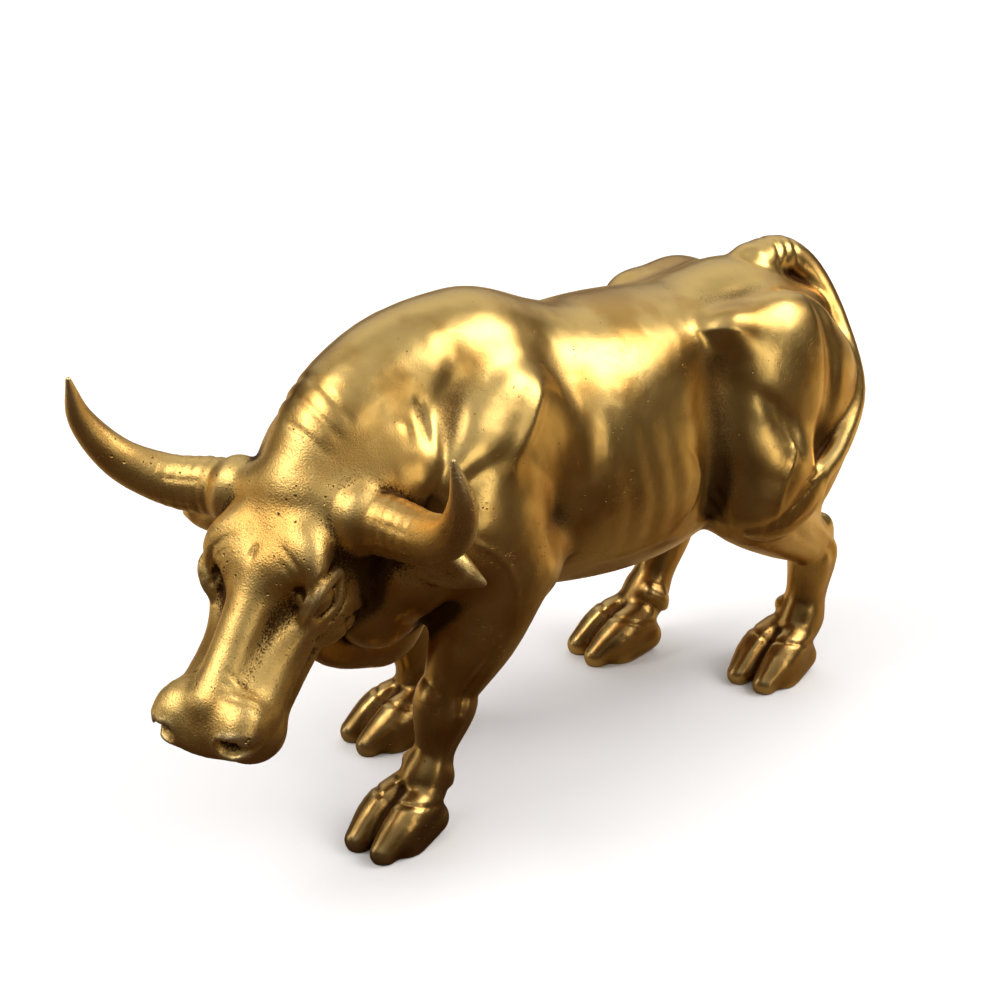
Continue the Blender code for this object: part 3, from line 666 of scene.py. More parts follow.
@dataclass(frozen=True)
class Hide(Form):
    """Fine folds and veins of the hide over the trunk."""

    elbow_folds: tuple[Wrinkle, ...] = tuple(
        Wrinkle(((22, -8 - 1.5 * j, 43 - 1.2 * j), (21, -12 - 1.2 * j, 38 - 0.6 * j), (18, -16 - j, 36)),
                0.5, 0.4, paired=True) for j in range(3))
    flank_folds: tuple[Wrinkle, ...] = tuple(
        Wrinkle(((19, 20 + 2.2 * j, 50 - j), (19, 23 + 2.2 * j, 42 - j), (16, 27 + 2 * j, 36)), 0.55, 0.4,
                paired=True) for j in range(3))
    brisket_folds: tuple[Wrinkle, ...] = tuple(
        Wrinkle(((9 - j, -54 + 3 * j, 50 - 3 * j), (6, -53 + 3 * j, 44 - 3 * j),
                 (3.5, -52 + 3.4 * j, 39 - 3 * j)), 0.55, 0.42, paired=True) for j in range(4))
    nape_folds: tuple[Wrinkle, ...] = tuple(
        Wrinkle(((9, -49 - 2.2 * j, 76 - 2.6 * j), (4, -50 - 2.2 * j, 80 - 2.8 * j),
                 (0.5, -50 - 2.2 * j, 81 - 3 * j)), 0.6, 0.34, paired=True) for j in range(3))
    shoulder_vein: Wrinkle = Wrinkle(
        ((22, -38, 58), (24, -31, 53), (23, -27, 46), (21, -27, 39)), 0.5, -0.3, paired=True)
    belly_vein: Wrinkle = Wrinkle(
        ((19, -4, 38), (20, 4, 38), (20, 12, 40), (19, 20, 39)), 0.55, -0.34, paired=True)
    flank_vein: Wrinkle = Wrinkle(
        ((21, 14, 60), (21, 18, 54), (20.5, 17, 47), (20, 12, 40)), 0.5, -0.3, paired=True)
    thigh_vein: Wrinkle = Wrinkle(
        ((22, 36, 62), (23.5, 38, 54), (22, 35, 46), (20, 34, 39)), 0.5, -0.3, paired=True)
    neck_vein: Wrinkle = Wrinkle(((15, -53, 60), (16, -47, 55), (16, -42, 50)), 0.55, -0.34, paired=True)
    tail_head: tuple[Wrinkle, ...] = tuple(
        Wrinkle(((6.5, 52 + 2.4 * j, 78 - 0.6 * j), (3.5, 53.5 + 2.4 * j, 82), (0, 54 + 2.4 * j, 83)), 0.5,
                0.32, paired=True) for j in range(3))


MOUTH_LEFT: Path = ((7.4, -19, -12.6), (6.6, -29, -12.6), (4.8, -35.0, -12.3))
MOUTH: Path = MOUTH_LEFT + ((0, -36.9, -12.0),) + tuple((-x, y, z) for x, y, z in reversed(MOUTH_LEFT))


@dataclass(frozen=True)
class Head(Form):
    """The head, drawn level with its poll at the origin and its muzzle towards -Y."""

    skull: Mass = Mass((0, -8, -7.6), (8.8, 10.5, 7.6))
    forehead: Mass = Mass((0, -7.0, -2.9), (8.6, 8.0, 3.2), 2)
    forehead_boss: Mass = Mass((3.9, -8.6, -2.0), (3.7, 5.6, 2.5), 2, paired=True)
    poll: Limb = Limb(((-8.8, -1.4, -4.0), (0, -1.0, -1.9), (8.8, -1.4, -4.0)), (3.2, 3.9, 3.2), 1.2)
    nose: Limb = Limb(((0, -12, -4.4), (0, -18, -4.2), (0, -25, -4.8), (0, -31, -5.8)), (4.4, 3.3, 3.2, 4.0))
    cheek: Mass = Mass((5.6, -9.6, -12.4), (3.7, 8.2, 7), 2, paired=True)
    upper_jaw: Limb = Limb(
        ((4.6, -12, -9.6), (3.4, -21, -9.3), (3.4, -28.6, -8.9)), (4.0, 3.9, 4.2), 2.2, paired=True)
    muzzle: Mass = Mass((0, -31.4, -8.4), (7.8, 5.1, 5.8), 2.0)
    lower_jaw: Limb = Limb(((0, -8, -15.5), (0, -20, -15.8), (0, -30.5, -15.4)), (5.8, 4.6, 4.3), 2.2)
    chin: Mass = Mass((0, -30.6, -16.4), (5.2, 4.4, 3.5), 2.0)
    nose_pad: Limb = Limb(((-4.4, -34.4, -6.8), (0, -34.9, -6.6), (4.4, -34.4, -6.8)), (2.9, 3.0, 2.9), 1.8)
    nostril_wing: Mass = Mass((4.9, -33.0, -5.5), (3.3, 4.0, 3.0), 2.0, paired=True)
    brow: Limb = Limb(
        ((4.8, -7.4, -1.3), (7.2, -9.6, -2.0), (8.4, -12.8, -3.8)), (1.4, 1.9, 1.3), 2.2, paired=True)
    socket: Hollow = Hollow((9.6, -13.0, -6.5), (2.2, 4.0, 3.0), 1.2, paired=True)
    eye: Mass = Mass((6.5, -13.0, -6.5), (2.9, 2.9, 2.9), 0.3, paired=True)
    upper_lid: Limb = Limb(
        ((6.1, -17.0, -7.3), (7.9, -15.6, -4.9), (9.0, -12.9, -3.9), (9.3, -9.2, -5.9)),
        (0.6, 1.0, 1.1, 0.7), 0.6, paired=True)
    lower_lid: Limb = Limb(
        ((6.1, -17.0, -7.3), (7.5, -15.3, -8.7), (8.7, -12.6, -9.2), (9.3, -9.2, -6.6)),
        (0.6, 0.85, 0.9, 0.6), 0.6, paired=True)
    under_eye: Crease = Crease(
        ((6.8, -17.4, -7.8), (8.0, -15.2, -10.4), (9.0, -11.6, -10.9), (9.4, -8.1, -9.0)), 0.5, 0.6,
        paired=True)
    face_ridge: Limb = Limb(
        ((6.9, -16.5, -7.6), (5.4, -21, -8.0), (4.8, -26, -8.0)), (1.3, 1.1, 0.6), 1.8, paired=True)
    nostril: Hollow = Hollow((5.0, -37.0, -4.6), (1.9, 2.9, 1.6), 0.5, (-25, 20, -28), True)
    nostril_tail: Crease = Crease(
        ((6.2, -36.6, -5.4), (7.6, -35.4, -6.4), (8.4, -33.4, -7.8)), 0.8, 1.5, paired=True)
    cheek_line: Crease = Crease(
        ((6, -8, -18), (8.8, -14.5, -13.5), (7.2, -18.5, -10.5)), 1.2, 0.9, paired=True)
    mouth: Crease = Crease(MOUTH, 0.95, 2.6, taper=False)
    lip_line: Crease = Crease(((0, -36.2, -11.2), (0, -37.1, -8.6), (0, -36, -5.8)), 0.7, 0.9)
    forehead_line: Crease = Crease(((0.2, -14.4, -1.2), (-0.1, -12.4, -0.2), (0.15, -10.2, 0.6)), 0.6, 0.5)


@dataclass(frozen=True)
class Face(Form):
    """The fine lines of the face, in the head's frame."""

    brow_lines: tuple[Wrinkle, ...] = tuple(
        Wrinkle(((3.6 + 0.4 * j, -9.6 - 1.7 * j, -0.6), (6.0, -11.6 - 1.5 * j, -2.4),
                 (7.4, -14.6 - 0.9 * j, -4.6)), 0.36, 0.34, paired=True) for j in range(3))
    eye_bags: tuple[Wrinkle, ...] = tuple(
        Wrinkle(((6.6, -18.2 - 0.6 * j, -8.6 - 0.8 * j), (8.0, -15.4, -11.4 - 0.9 * j),
                 (9.0, -11.4, -12.0 - j)), 0.36, 0.32, paired=True) for j in range(2))
    upper_fold: Wrinkle = Wrinkle(
        ((6.4, -18.0, -5.6), (8.2, -16.4, -3.4), (9.2, -13.0, -2.2), (9.8, -9.0, -3.6)), 0.45, 0.6,
        paired=True)
    lid_shadow: Wrinkle = Wrinkle(
        ((7.2, -15.8, -6.5), (8.6, -13.8, -5.1), (9.3, -12.0, -5.0), (9.4, -9.8, -6.0)), 0.34, 0.42,
        paired=True)
    lower_shadow: Wrinkle = Wrinkle(
        ((7.2, -15.8, -7.3), (8.4, -13.8, -8.1), (9.2, -11.8, -8.1), (9.4, -9.8, -6.8)), 0.34, 0.34,
        paired=True)
    face_vein: Wrinkle = Wrinkle(
        ((8.2, -16.6, -9.6), (6.8, -20, -11.0), (6.4, -25, -10.6)), 0.42, -0.3, paired=True)
    nose_folds: tuple[Wrinkle, ...] = tuple(
        Wrinkle(((6.2, -31.4 + 1.5 * j, -5.4), (4.0, -30.6 + 1.5 * j, -3.2), (1.4, -30.2 + 1.5 * j, -2.0)),
                0.36, 0.26, paired=True) for j in range(3))
    nostril_rim: Wrinkle = Wrinkle(
        ((3.6, -37.0, -5.6), (3.9, -36.4, -3.2), (6.6, -35.4, -2.6), (8.6, -33.6, -5.2)), 0.5, -0.3,
        paired=True)
    lip_folds: tuple[Wrinkle, ...] = tuple(
        Wrinkle(((1.6 + 1.5 * j, -36.6 + 0.3 * j, -8.2), (1.9 + 1.5 * j, -36.4 + 0.3 * j, -10.6)), 0.34, 0.24,
                paired=True) for j in range(3))
    muzzle_edge: Wrinkle = Wrinkle(
        ((7.4, -33.4, -9.6), (5.4, -35.6, -10.4), (2.4, -36.8, -10.8), (0, -37, -11)), 0.4, 0.3, paired=True)
    jaw_folds: tuple[Wrinkle, ...] = tuple(
        Wrinkle(((7, -9 - 2.4 * j, -19), (8.6, -9 - 2.2 * j, -16), (9.2, -9 - 2 * j, -13)), 0.45, 0.3,
                paired=True) for j in range(3))
    mouth_corner: Wrinkle = Wrinkle(
        ((7.6, -19.4, -12.6), (7.8, -17.6, -13.8), (7.6, -16.6, -15.4)), 0.5, 0.5, paired=True)


RING_STEP = 30


def ring(middle: Point, radius: float) -> Path:
    """Returns a closed path round a middle, across the X axis."""
    x, y, z = middle
    angles = [math.radians(angle) for angle in range(0, 361, RING_STEP)]
    return tuple((x, y + radius * math.cos(a), z + radius * math.sin(a)) for a in angles)


@dataclass(frozen=True)
class Horn(Form):
    """A horn, drawn from its root: out to the side, then forward and up."""

    horn: Limb = Limb(
        ((0, 0, 0), (7, 0.4, -0.6), (14, -1.4, -0.2), (21, -5, 3.5), (25, -9, 11), (25, -11.5, 19)),
        (5.2, 5.0, 4.3, 3.4, 2.2, 0.5), 1.0, paired=True)
    root_line: Crease = Crease(ring((4.6, 0.2, -0.4), 5.3), 0.7, 0.25, taper=False, paired=True)
    collar: Limb = Limb(ring((1.6, 0.2, -0.2), 4.3), (1.2,) * (360 // RING_STEP + 1), 2.4, paired=True)


@dataclass(frozen=True)
class HornRings(Form):
    """The growth rings and the lengthways cracks of a horn."""

    rings: tuple[Wrinkle, ...] = tuple(
        Wrinkle(ring((6.6 + 1.9 * j + 0.25 * (j % 2), 0.4 - 0.09 * j * j, -0.6 + 0.03 * j * j),
                     5.2 - 0.12 * j), 0.5 - 0.03 * j, 0.2 - 0.03 * j, taper=False, paired=True)
        for j in range(5))
    cracks: tuple[Wrinkle, ...] = tuple(
        Wrinkle(((5.6, 5 * math.cos(a), 5 * math.sin(a)),
                 (9.5, 5 * math.cos(a + 0.15), 5 * math.sin(a + 0.15)),
                 (13.5, 4.4 * math.cos(a + 0.1) - 1.2, 4.4 * math.sin(a + 0.1))), 0.34, 0.28, paired=True)
        for a in (0.9, 1.7, 2.6, 3.6, 4.3, 5.2))


@dataclass(frozen=True)
class Ear(Form):
    """An ear, drawn from its root, with the shell open to the front."""

    shell: Limb = Limb(
        ((0, 0, 0), (5.5, 0.6, 0.0), (11.5, 1.6, -1.6), (17, 3.2, -4.2)), (2.3, 4.2, 3.9, 0.7), 1.0,
        widen=(1, 0.62, 1), paired=True)
    opening: Crease = Crease(
        ((3, -2.3, 0), (7, -2.0, -0.2), (11.5, -0.9, -1.6), (14.5, 0.3, -3.0)), 1.4, 1.7, paired=True)


@dataclass(frozen=True)
class EarFolds(Form):
    """The folds inside an ear's shell and the hair at its edge."""

    folds: tuple[Wrinkle, ...] = tuple(
        Wrinkle(((3.4, -3, 1.1 * k), (8, -3, 1.5 * k - 0.3), (14, -1.5, 0.9 * k - 2.6)), 0.42, 0.6,
                paired=True) for k in (-1.6, -0.6, 0.6, 1.6))
    back: tuple[Wrinkle, ...] = tuple(
        Wrinkle(((3, 3, 1.4 * k), (8, 3.4, 1.5 * k - 0.3), (13, 3.6, 0.8 * k - 2.4)), 0.5, 0.3, paired=True)
        for k in (-1, 0.2))


def tuft_strand(k: int) -> Crease:
    """Returns the k-th parting of the tail's tuft."""
    path = ((25.8, 46, 46 + k), (26.5, 41, 43 + 1.5 * k), (26, 36, 39.6 + 1.3 * k), (24, 31, 38.4 + 0.5 * k))
    return Crease(path, 0.5, 0.7)


@dataclass(frozen=True)
class Tail(Form):
    """The tail, which hangs across the left buttock and lies along the thigh."""

    stem: Limb = Limb(
        ((0, 50, 78.5), (0, 57, 79.5), (2.8, 62, 75.5), (9.5, 62.8, 67.5), (18.0, 59.8, 57.5),
         (22.6, 51.5, 49.5), (23.6, 44, 45)), (5, 3.9, 3.3, 2.8, 2.4, 2.2, 2.2), 1.2)
    tuft: Limb = Limb(
        ((22.9, 47, 46), (23.6, 42, 42.5), (23.2, 36, 39.2), (22, 29.5, 38)), (1.8, 3.7, 3.3, 0.6), 1.2,
        widen=(0.8, 1, 1))
    strands: tuple[Crease, ...] = tuple(tuft_strand(k) for k in range(-2, 3))


@dataclass(frozen=True)
class TailHair(Form):
    """Finer strands between the partings of the tuft."""

    strands: tuple[Wrinkle, ...] = tuple(
        Wrinkle(((27, 46, 46 + 1.1 * k), (28, 41, 43 + 1.5 * k), (27, 35, 39.6 + 1.3 * k)), 0.34, 0.34)
        for k in (-2.4, -1.5, -0.5, 0.5, 1.5, 2.4))


class Bull:
    """The whole figure in clay, and its casting."""

    CLAY_LOW: Point = (-34.0, -102.0, -2.0)
    CLAY_HIGH: Point = (48.0, 76.0, 98.0)
    CELL = 0.42
    HEAD_FRAME = Frame(origin=(5.4, -59.0, 68.5), turn=(42, 0, 22), scale=1.2)
    HORN_ROOT: Point = (8.8, -1.5, -5)
    EAR_ROOT: Point = (10.2, -2.0, -12.5)
    FACE_MIDDLE: Point = (0, -18, -6)
    MOST_TRIANGLES = 194_000
    # broad_hollow drives the painted shade in the broad creases; fine_hollow drives the patina in the
    # recesses and the painted highlight on raised edges.
    HOLLOWS = (("fine_hollow", 1.2, 1), ("broad_hollow", 4.5, 3))
    HEAD_LINE = tuple((0, y, -6) for y in (-1, -10, -20, -28, -34))
    HEAD_COARSE = (13.0, 18.0)
    HORN_COARSE = (6.2, 8.5)
    EAR_COARSE = (5.0, 7.0)
    COARSE_STEPS = 6

    def __init__(self) -> None:
        """Sculpts the figure, the large masses first and the fine lines last."""
        self.clay = Clay(self.CLAY_LOW, self.CLAY_HIGH, self.CELL)
        self.sculpt_masses()
        self.sculpt_lines()
        self.clay.flatten_below(0.0)

    def on_head(self, root: Point, side: int) -> Frame:
        """Returns a level frame at a point of the head, turned as the head is."""
        return Frame(tuple(self.HEAD_FRAME.at(root, side)), (0, 0, self.HEAD_FRAME.turn[2]))

    def sculpt_masses(self) -> None:
        """Builds the forms that the solid has too."""
        Torso().sculpt(self.clay)
        Neck().sculpt(self.clay)
        for leg in LEGS:
            leg.sculpt(self.clay)
        Muscles().sculpt(self.clay)
        Head().sculpt(self.clay, self.HEAD_FRAME)
        for side in BOTH_SIDES:
            Horn().sculpt(self.clay, self.on_head(self.HORN_ROOT, side), (side,))
            Ear().sculpt(self.clay, self.on_head(self.EAR_ROOT, side), (side,))
        Tail().sculpt(self.clay)

    def sculpt_lines(self) -> None:
        """Scores the hide, face, horns, ears, hooves and hair."""
        Hide().sculpt(self.clay)
        Face().sculpt(self.clay, self.HEAD_FRAME)
        for leg in LEGS:
            leg.refine(self.clay)
        for side in BOTH_SIDES:
            HornRings().sculpt(self.clay, self.on_head(self.HORN_ROOT, side), (side,))
            EarFolds().sculpt(self.clay, self.on_head(self.EAR_ROOT, side), (side,))
        TailHair().sculpt(self.clay)

    def cast(self, metal: bpy.types.Material) -> bpy.types.Object:
        """Casts the clay as a mesh in the solid's place.

        Args:
            metal: The figure's material.

        Returns:
            The figure.
        """
        face = self.HEAD_FRAME.at(self.FACE_MIDDLE)
        figure = Mould(self.clay, face, metal).fill("bull_casting")
        self.thin(figure)
        self.mark_surface(figure.data)
        self.fit_to_solid(figure.data)
        figure.data.shade_smooth()
        return figure

    def thin(self, figure: bpy.types.Object) -> None:
        """Thins the mesh under the most triangles it may have, and bakes that in."""
        full = figure.data
        full.calc_loop_triangles()
        collapse = figure.modifiers.new("thin", "DECIMATE")
        collapse.ratio = min(1.0, self.MOST_TRIANGLES / len(full.loop_triangles))
        figure.data = evaluated_mesh(figure)
        figure.data.name = figure.name
        figure.modifiers.clear()
        bpy.data.meshes.remove(full)

    def coarse_lines(self) -> list[tuple[np.ndarray, float, float]]:
        """Returns the lines that the skin is coarse along, how near it is full and how far it ends."""
        lines = [([self.HEAD_FRAME.at(point) for point in self.HEAD_LINE], self.HEAD_COARSE)]
        for side in BOTH_SIDES:
            for root, path, reach in ((self.HORN_ROOT, Horn.horn.path, self.HORN_COARSE),
                                      (self.EAR_ROOT, Ear.shell.path, self.EAR_COARSE)):
                frame = self.on_head(root, side)
                lines.append(([frame.at(point, side) for point in path], reach))
        steps = self.COARSE_STEPS
        return [(smooth_path(path, [1.0] * len(path), steps)[0], *reach) for path, reach in lines]

    def mark_surface(self, mesh: bpy.types.Mesh) -> None:
        """Stores what the material follows: how sunken each point is, closely and widely, and how coarse."""
        points = read_points(mesh)
        marks = {}
        for name, reach, thin in self.HOLLOWS:
            marks[name] = self.clay.read(*self.clay.fullness(reach, thin), points)
        coarse = np.zeros(len(points))
        for line, full, end in self.coarse_lines():
            gap = np.sqrt(np.min([((points - at) ** 2).sum(axis=1) for at in line], axis=0))
            coarse = np.maximum(coarse, np.clip((end - gap) / (end - full), 0, 1))
        marks["coarse_skin"] = coarse
        for name, values in marks.items():
            mesh.attributes.new(name, "FLOAT", "POINT").data.foreach_set("value", values.astype(np.float32))

    def fit_to_solid(self, mesh: bpy.types.Mesh) -> None:
        """Scales the drawn figure to the solid's length, and stands it where the solid stands."""
        low, high = (np.array(corner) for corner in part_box("bull"))
        points = read_points(mesh)
        drawn_low, drawn_high = points.min(axis=0), points.max(axis=0)
        scale = (high[1] - low[1]) / (drawn_high[1] - drawn_low[1])
        middle = (drawn_low + drawn_high) / 2
        middle[2] = drawn_low[2]
        place = np.array([(low[0] + high[0]) / 2, (low[1] + high[1]) / 2, low[2]])
        mesh.vertices.foreach_set("co", ((points - middle) * scale + place).astype(np.float32).ravel())
        mesh.update()


def read_points(mesh: bpy.types.Mesh) -> np.ndarray:
    """Returns the mesh's points as rows."""
    points = np.empty(len(mesh.vertices) * 3, np.float32)
    mesh.vertices.foreach_get("co", points)
    return points.reshape(-1, 3).astype(float)


def evaluated_mesh(holder: bpy.types.Object) -> bpy.types.Mesh:
    """Returns the plain mesh that an object's modifiers make."""
    return bpy.data.meshes.new_from_object(holder.evaluated_get(bpy.context.evaluated_depsgraph_get()))


def in_scene(name: str, data: bpy.types.ID) -> bpy.types.Object:
    """Puts an object in the scene."""
    placed = bpy.data.objects.new(name, data)
    bpy.context.scene.collection.objects.link(placed)
    return placed


class Wiring:
    """Adds and links the nodes of one tree."""

    def __init__(self, tree: bpy.types.NodeTree) -> None:
        """Takes the tree that the nodes go in."""
        self.tree = tree

    def node(self, kind: str, operation: str = "", fed: dict[object, object] | None = None,
             **settings: object) -> bpy.types.NodeOutputs:
        """Adds a node.

        Args:
            kind: Its type.
            operation: Its operation, where it has one.
            fed: What goes into its inputs, by their names or places.
            settings: Its other properties.

        Returns:
            The node's outputs.
        """
        made = self.tree.nodes.new(kind)
        if operation:
            made.operation = operation
        for name, value in settings.items():
            setattr(made, name, value)
        self.feed(made, fed or {})
        return made.outputs

    def feed(self, node: bpy.types.Node, fed: dict[object, object]) -> None:
        """Links sockets to a node's inputs, or sets plain values there."""
        for name, value in fed.items():
            if isinstance(value, Socket):
                self.tree.links.new(value, node.inputs[name])
            else:
                node.inputs[name].default_value = value

    def maths(self, operation: str, *values: object) -> Socket:
        """Works out one sum of sockets or numbers."""
        return self.node("ShaderNodeMath", operation, dict(enumerate(values)))[0]

    def ramp(self, value: object, start: object, end: object) -> Socket:
        """Rises smoothly from 0 to 1 as a value goes from start to end."""
        fed = {"Value": value, "From Min": start, "From Max": end}
        return self.node("ShaderNodeMapRange", fed=fed, interpolation_type="SMOOTHSTEP")["Result"]

    def spread(self, value: object, low: object, high: object) -> Socket:
        """Spreads a value from 0 to 1 over another range."""
        return self.node("ShaderNodeMapRange", fed={"Value": value, "To Min": low, "To Max": high})["Result"]

    def noise(self, place: object, scale: object, detail: float = 2.0) -> Socket:
        """Reads smooth noise, from 0 to 1."""
        return self.node("ShaderNodeTexNoise", fed={"Vector": place, "Scale": scale, "Detail": detail})[0]

    def swing(self, value: object, size: object) -> Socket:
        """Turns a value about a half into one about zero, of another size."""
        return self.maths("MULTIPLY", self.maths("SUBTRACT", value, 0.5), size)

    def blend(self, share: object, first: object, second: object) -> Socket:
        """Mixes two colours: the first where the share is 0, the second where it is 1."""
        return self.node("ShaderNodeMix", fed={0: share, 6: first, 7: second}, data_type="RGBA")[2]


class Mould(Wiring):
    """Geometry nodes that mesh the clay's surface and give it the skin of a casting."""

    SKIN_DEPTH = 0.06
    FACE_DEPTH = 0.11
    SKIN_SIZE = 0.42
    SKIN_DETAIL = 3.0
    FACE_NEAR = 18.0
    FACE_FAR = 34.0
    LEAST_ISLAND = 500.0

    def __init__(self, clay: Clay, face: np.ndarray, metal: bpy.types.Material) -> None:
        """Builds the tree.

        Args:
            clay: The clay that is cast.
            face: The middle of the head, round which the skin is coarser.
            metal: The figure's material.
        """
        super().__init__(bpy.data.node_groups.new("clay casting", "GeometryNodeTree"))
        self.clay = clay
        self.values: dict[str, object] = {}
        corners = {"Low": clay.low, "High": clay.low + clay.cell * (clay.counts - 1), "Face": face}
        numbers = {"Cell": clay.cell, "Skin depth": self.SKIN_DEPTH, "Face depth": self.FACE_DEPTH,
                   "Skin size": self.SKIN_SIZE, "Least island": self.LEAST_ISLAND}
        counts = {"Count " + axis: int(count) for axis, count in zip("XYZ", clay.counts)}
        self.tree.interface.new_socket("Geometry", in_out="INPUT", socket_type="NodeSocketGeometry")
        corners = {name: tuple(map(float, corner)) for name, corner in corners.items()}
        self.add_inputs("NodeSocketVector", corners)
        self.add_inputs("NodeSocketFloat", numbers)
        self.add_inputs("NodeSocketInt", counts)
        self.add_inputs("NodeSocketMaterial", {"Metal": metal})
        self.tree.interface.new_socket("Geometry", in_out="OUTPUT", socket_type="NodeSocketGeometry")
        self.given = self.node("NodeGroupInput")
        self.build()

    def add_inputs(self, kind: str, values: dict[str, object]) -> None:
        """Adds named inputs of one kind, and remembers their values."""
        for name, value in values.items():
            socket = self.tree.interface.new_socket(name, in_out="INPUT", socket_type=kind)
            self.values[socket.identifier] = value

    def grid_index(self) -> Socket:
        """Works out which point of the clay's grid a place is."""
        place = self.node("GeometryNodeInputPosition")[0]
        from_low = self.node("ShaderNodeVectorMath", "SUBTRACT", {0: place, 1: self.given["Low"]})[0]
        cell = self.node("ShaderNodeCombineXYZ", fed=dict.fromkeys(range(3), self.given["Cell"]))[0]
        in_cells = self.node("ShaderNodeVectorMath", "DIVIDE", {0: from_low, 1: cell})[0]
        parts = self.node("ShaderNodeSeparateXYZ", fed={0: in_cells})
        index = 0
        for axis in "XYZ":
            whole = self.node("FunctionNodeFloatToInt", fed={0: parts[axis]}, rounding_mode="ROUND")[0]
            fed = {0: index, 1: self.given["Count " + axis], 2: whole}
            index = self.node("FunctionNodeIntegerMath", "MULTIPLY_ADD", fed)[0]
        return index

    def surface(self) -> Socket:
        """Fills a volume from the grid and meshes it."""
        depth = self.node("GeometryNodeInputNamedAttribute", fed={"Name": "depth"})["Attribute"]
        fed = {"Geometry": self.given["Geometry"], "Value": depth, "Index": self.grid_index()}
        sample = self.node("GeometryNodeSampleIndex", fed=fed)["Value"]
        fed = {"Density": sample, "Background": -self.clay.FAR, "Min": self.given["Low"],
               "Max": self.given["High"]}
        for axis in "XYZ":
            fed["Resolution " + axis] = self.given["Count " + axis]
        cube = self.node("GeometryNodeVolumeCube", fed=fed)["Volume"]
        return self.node("GeometryNodeVolumeToMesh", fed={"Volume": cube, "Threshold": 0.0})["Mesh"]

    def without_crumbs(self, mesh: Socket) -> Socket:
        """Deletes each island of the mesh that has only a few points."""
        island = self.node("GeometryNodeInputMeshIsland")["Island Index"]
        size = self.node("GeometryNodeAccumulateField", fed={"Group ID": island}, data_type="FLOAT")["Total"]
        fed = {"A": size, "B": self.given["Least island"]}
        small = self.node("FunctionNodeCompare", "LESS_THAN", fed, data_type="FLOAT")["Result"]
        return self.node("GeometryNodeDeleteGeometry", fed={"Geometry": mesh, "Selection": small})["Geometry"]

    def skin_offset(self) -> Socket:
        """Works out the small rise and fall of the cast skin, coarser on the face."""
        place = self.node("GeometryNodeInputPosition")[0]
        away = self.node("ShaderNodeVectorMath", "DISTANCE", {0: place, 1: self.given["Face"]})["Value"]
        fed = {"Value": away, "From Min": self.FACE_NEAR, "From Max": self.FACE_FAR,
               "To Min": self.given["Face depth"], "To Max": self.given["Skin depth"]}
        depth = self.node("ShaderNodeMapRange", fed=fed)["Result"]
        rise = self.swing(self.noise(place, self.given["Skin size"], self.SKIN_DETAIL), depth)
        normal = self.node("GeometryNodeInputNormal")["Normal"]
        return self.node("ShaderNodeVectorMath", "SCALE", {0: normal, "Scale": rise})["Vector"]

    def build(self) -> None:
        """Puts the tree together: surface, skin, real mesh and material."""
        fed = {"Geometry": self.without_crumbs(self.surface()), "Offset": self.skin_offset()}
        skin = self.node("GeometryNodeSetPosition", fed=fed)["Geometry"]
        real = self.node("GeometryNodeRealizeInstances", fed={"Geometry": skin})["Geometry"]
        fed = {"Geometry": real, "Material": self.given["Metal"]}
        self.node("NodeGroupOutput", fed={0: self.node("GeometryNodeSetMaterial", fed=fed)["Geometry"]})

    def fill(self, name: str) -> bpy.types.Object:
        """Casts the figure.

        Args:
            name: The figure's name.

        Returns:
            The figure, as a plain mesh in drawn units.
        """
        grid = bpy.data.meshes.new("clay grid")
        grid.vertices.add(self.clay.field.size)
        grid.attributes.new("depth", "FLOAT", "POINT").data.foreach_set("value", -self.clay.field.ravel())
        holder = in_scene("clay grid", grid)
        nodes = holder.modifiers.new("casting", "NODES")
        nodes.node_group = self.tree
        for identifier, value in self.values.items():
            nodes[identifier] = value
        mesh = evaluated_mesh(holder)
        mesh.name = name
        bpy.data.objects.remove(holder)
        bpy.data.meshes.remove(grid)
        return in_scene(name, mesh)


def opaque(colour: Colour) -> tuple[float, float, float, float]:
    """Returns a colour with its alpha."""
    return (*colour, 1.0)


class EffectGroup(Wiring):
    """A shader node group that takes and gives values which change over the surface."""

    def __init__(self, name: str, places: tuple[str, ...], numbers: tuple[str, ...],
                 results: tuple[str, ...]) -> None:
        """Makes the group with its named sockets.

        Args:
            name: The group's name.
            places: The names of its inputs that are places.
            numbers: The names of its inputs that are numbers.
            results: The names of its outputs, which are numbers.
        """
        super().__init__(bpy.data.node_groups.new(name, "ShaderNodeTree"))
        for labels, way, kind in ((places, "INPUT", "Vector"), (numbers, "INPUT", "Float"),
                                  (results, "OUTPUT", "Float")):
            for label in labels:
                self.tree.interface.new_socket(label, in_out=way, socket_type="NodeSocket" + kind)
        self.given = self.node("NodeGroupInput")


